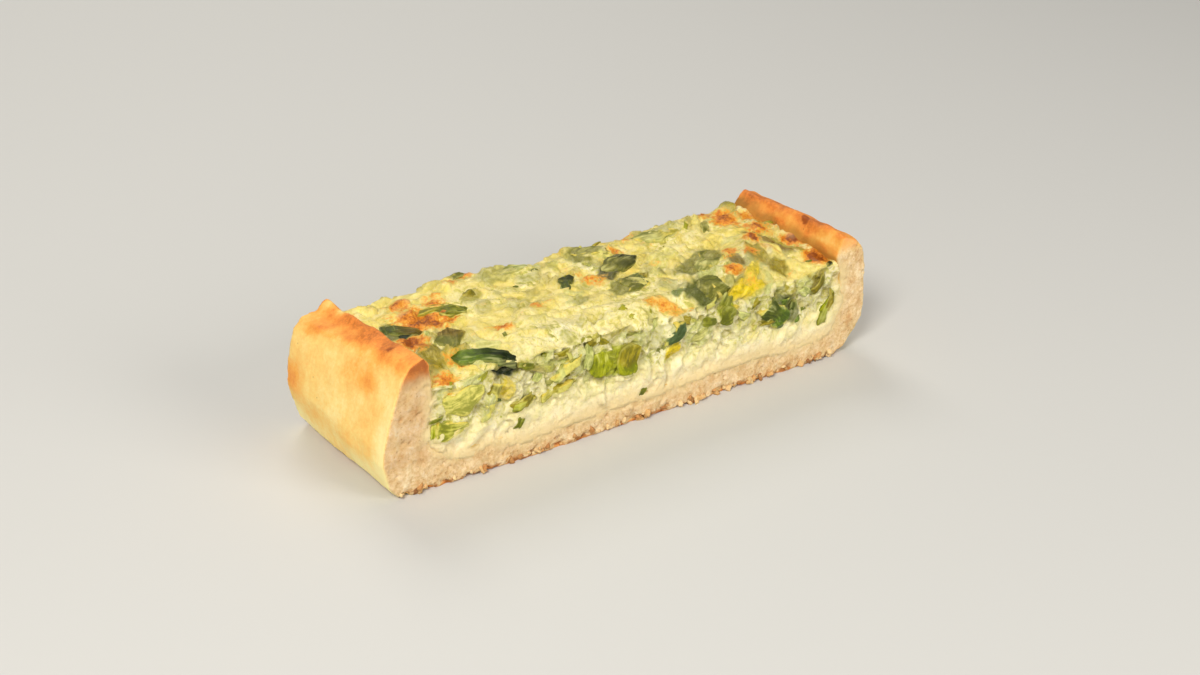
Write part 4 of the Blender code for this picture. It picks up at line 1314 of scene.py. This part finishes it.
class QUICHE_OT_crumbs(Operator):
    """Scatter pastry crumbs along the lower edges of the cut pastry"""

    bl_idname = "quiche.crumbs"
    bl_label = "Crumbs"

    def execute(self, context):
        source = bpy.data.objects["pastry"]
        points, normals = points_of(source)
        facing = smooth_step(np.abs(normals[:, 1]), 0.5, 0.8)
        outer = smooth_step(np.abs(points[:, 1]), 15.5, 16.5)
        low = smooth_step(-points[:, 2], -1.9, -0.9)
        sow = facing * outer * low * (points[:, 2] > 0.5)
        kinds = {"shape": chunk, "own": "own_heat", "material": crumb_finish()}
        kinds.update(sizes_mm=(0.2, 1.05), lying=False, rough=(0.2, 0.7))
        scattered("pastry_crumbs", source, sow, sizes().crumbs, 8, "crust", **kinds)
        return {"FINISHED"}


class QUICHE_OT_flecks(Operator):
    """Scatter fine cut leek over the top and the cuts of the custard"""

    bl_idname = "quiche.flecks"
    bl_label = "Leek flecks"

    def execute(self, context):
        source = bpy.data.objects["custard"]
        points, normals = points_of(source)
        top = smooth_step(normals[:, 2], 0.5, 0.8) * smooth_step(points[:, 2], 20, 22)
        cut = smooth_step(np.abs(normals[:, 1]), 0.4, 0.7) * smooth_step(points[:, 2], 10, 18)
        sow = (0.3 * top + cut) * smooth_step(lumps(points, 6.0, 81), -0.1, 0.3)
        kinds = {"shape": curved_bit, "own": "own_green", "material": fleck_finish()}
        kinds.update(sizes_mm=(0.3, 0.7), lying=True, rough=(0.16, 0.9))
        scattered("leek_flecks", source, sow, sizes().flecks, 12, "leek_green", **kinds)
        return {"FINISHED"}


# Lamps: name, place, width in metres, power in watts, colour
LAMPS = (
    ("key", (-0.56, -0.36, 0.60), 0.24, 6.0, (1.0, 0.96, 0.88)),
    ("fill", (0.30, -0.68, 0.34), 0.4, 3.2, (1.0, 0.97, 0.90)),
    ("back", (0.10, 0.50, 0.55), 0.35, 1.8, (1.0, 0.96, 0.88)),
)
LIT_POINT = Vector((0, 0, 0.015))
FLOOR_REACH = 3.0  # from the middle to the floor's edge, in metres
CAMERA_LENS, CAMERA_SENSOR = 57, 36  # in millimetres
CAMERA_TURN, CAMERA_TILT, CAMERA_ROLL = math.radians(38.863), math.radians(27.986), math.radians(4)
CAMERA_TARGET = Vector((-0.00162, -0.00461, 0.01425))
CAMERA_DISTANCE = 0.39781  # from the target, in metres


def area_light(name, place, size, power, colour):
    data = bpy.data.lights.new(name, "AREA")
    data.shape = "SQUARE"
    data.size = size
    data.energy = power
    data.color = colour
    lamp = bpy.data.objects.new(name, data)
    lamp.location = place
    lamp.rotation_euler = (LIT_POINT - Vector(place)).to_track_quat("-Z", "Y").to_euler()
    bpy.context.scene.collection.objects.link(lamp)


def camera_frame():
    """Where the camera stands: turned, tilted down and rolled about the target."""
    level = math.cos(CAMERA_TILT)
    ahead = Vector((math.sin(CAMERA_TURN) * level, math.cos(CAMERA_TURN) * level, -math.sin(CAMERA_TILT)))
    right = ahead.cross(Vector((0, 0, 1))).normalized()
    up = right.cross(ahead)
    cosine, sine = math.cos(CAMERA_ROLL), math.sin(CAMERA_ROLL)
    rolled = (cosine * right + sine * up, cosine * up - sine * right, -ahead)
    place = Matrix(rolled).transposed().to_4x4()
    place.translation = CAMERA_TARGET - ahead * CAMERA_DISTANCE
    return place


class QUICHE_OT_stage(Operator):
    """Set the pale floor, the soft lights and the camera"""

    bl_idname = "quiche.stage"
    bl_label = "Stage"

    def execute(self, context):
        scene = context.scene
        mesh = bmesh.new()
        bmesh.ops.create_grid(mesh, x_segments=1, y_segments=1, size=FLOOR_REACH)
        floor = new_object("floor", mesh)
        look = Finish("floor", Base_Color=(0.62, 0.62, 0.61, 1), Roughness=0.7)
        floor.data.materials.append(look.material)
        floor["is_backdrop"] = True
        for lamp in LAMPS:
            area_light(*lamp)
        world = bpy.data.worlds.new("studio")
        world.use_nodes = True
        background = world.node_tree.nodes["Background"].inputs
        background["Color"].default_value = (1.0, 0.98, 0.94, 1)
        background["Strength"].default_value = 0.25
        scene.world = world
        scene.view_settings.view_transform = "Standard"
        data = bpy.data.cameras.new("camera")
        data.lens = CAMERA_LENS
        data.sensor_width = CAMERA_SENSOR
        data.clip_start = 0.01
        camera = bpy.data.objects.new("camera", data)
        scene.collection.objects.link(camera)
        camera.matrix_world = camera_frame()
        scene.camera = camera
        return {"FINISHED"}


OPERATORS = (
    QUICHE_OT_pastry,
    QUICHE_OT_custard,
    QUICHE_OT_leek,
    QUICHE_OT_small_leek,
    QUICHE_OT_crumbs,
    QUICHE_OT_flecks,
    QUICHE_OT_stage,
)


class QUICHE_PT_panel(Panel):
    """Sizes, colours and the steps that make the slice."""

    bl_idname = "QUICHE_PT_panel"
    bl_label = "Leek quiche"
    bl_space_type = "VIEW_3D"
    bl_region_type = "UI"
    bl_category = "Quiche"

    def draw(self, context):
        for group in (context.scene.quiche_sizes, context.scene.quiche_colours):
            box = self.layout.box()
            for name in group.__annotations__:
                box.prop(group, name)
        for operator in OPERATORS:
            self.layout.operator(operator.bl_idname)


CLASSES = (QuicheSizes, QuicheColours, *OPERATORS, QUICHE_PT_panel)


def register():
    for cls in CLASSES:
        bpy.utils.register_class(cls)
    bpy.types.Scene.quiche_sizes = PointerProperty(type=QuicheSizes)
    bpy.types.Scene.quiche_colours = PointerProperty(type=QuicheColours)


def unregister():
    del bpy.types.Scene.quiche_colours
    del bpy.types.Scene.quiche_sizes
    for cls in reversed(CLASSES):
        bpy.utils.unregister_class(cls)


def main():
    register()
    bpy.ops.quiche.pastry()
    bpy.ops.quiche.custard()
    bpy.ops.quiche.leek()
    bpy.ops.quiche.small_leek()
    bpy.ops.quiche.crumbs()
    bpy.ops.quiche.flecks()
    bpy.ops.quiche.stage()


if __name__ == "__main__":
    main()
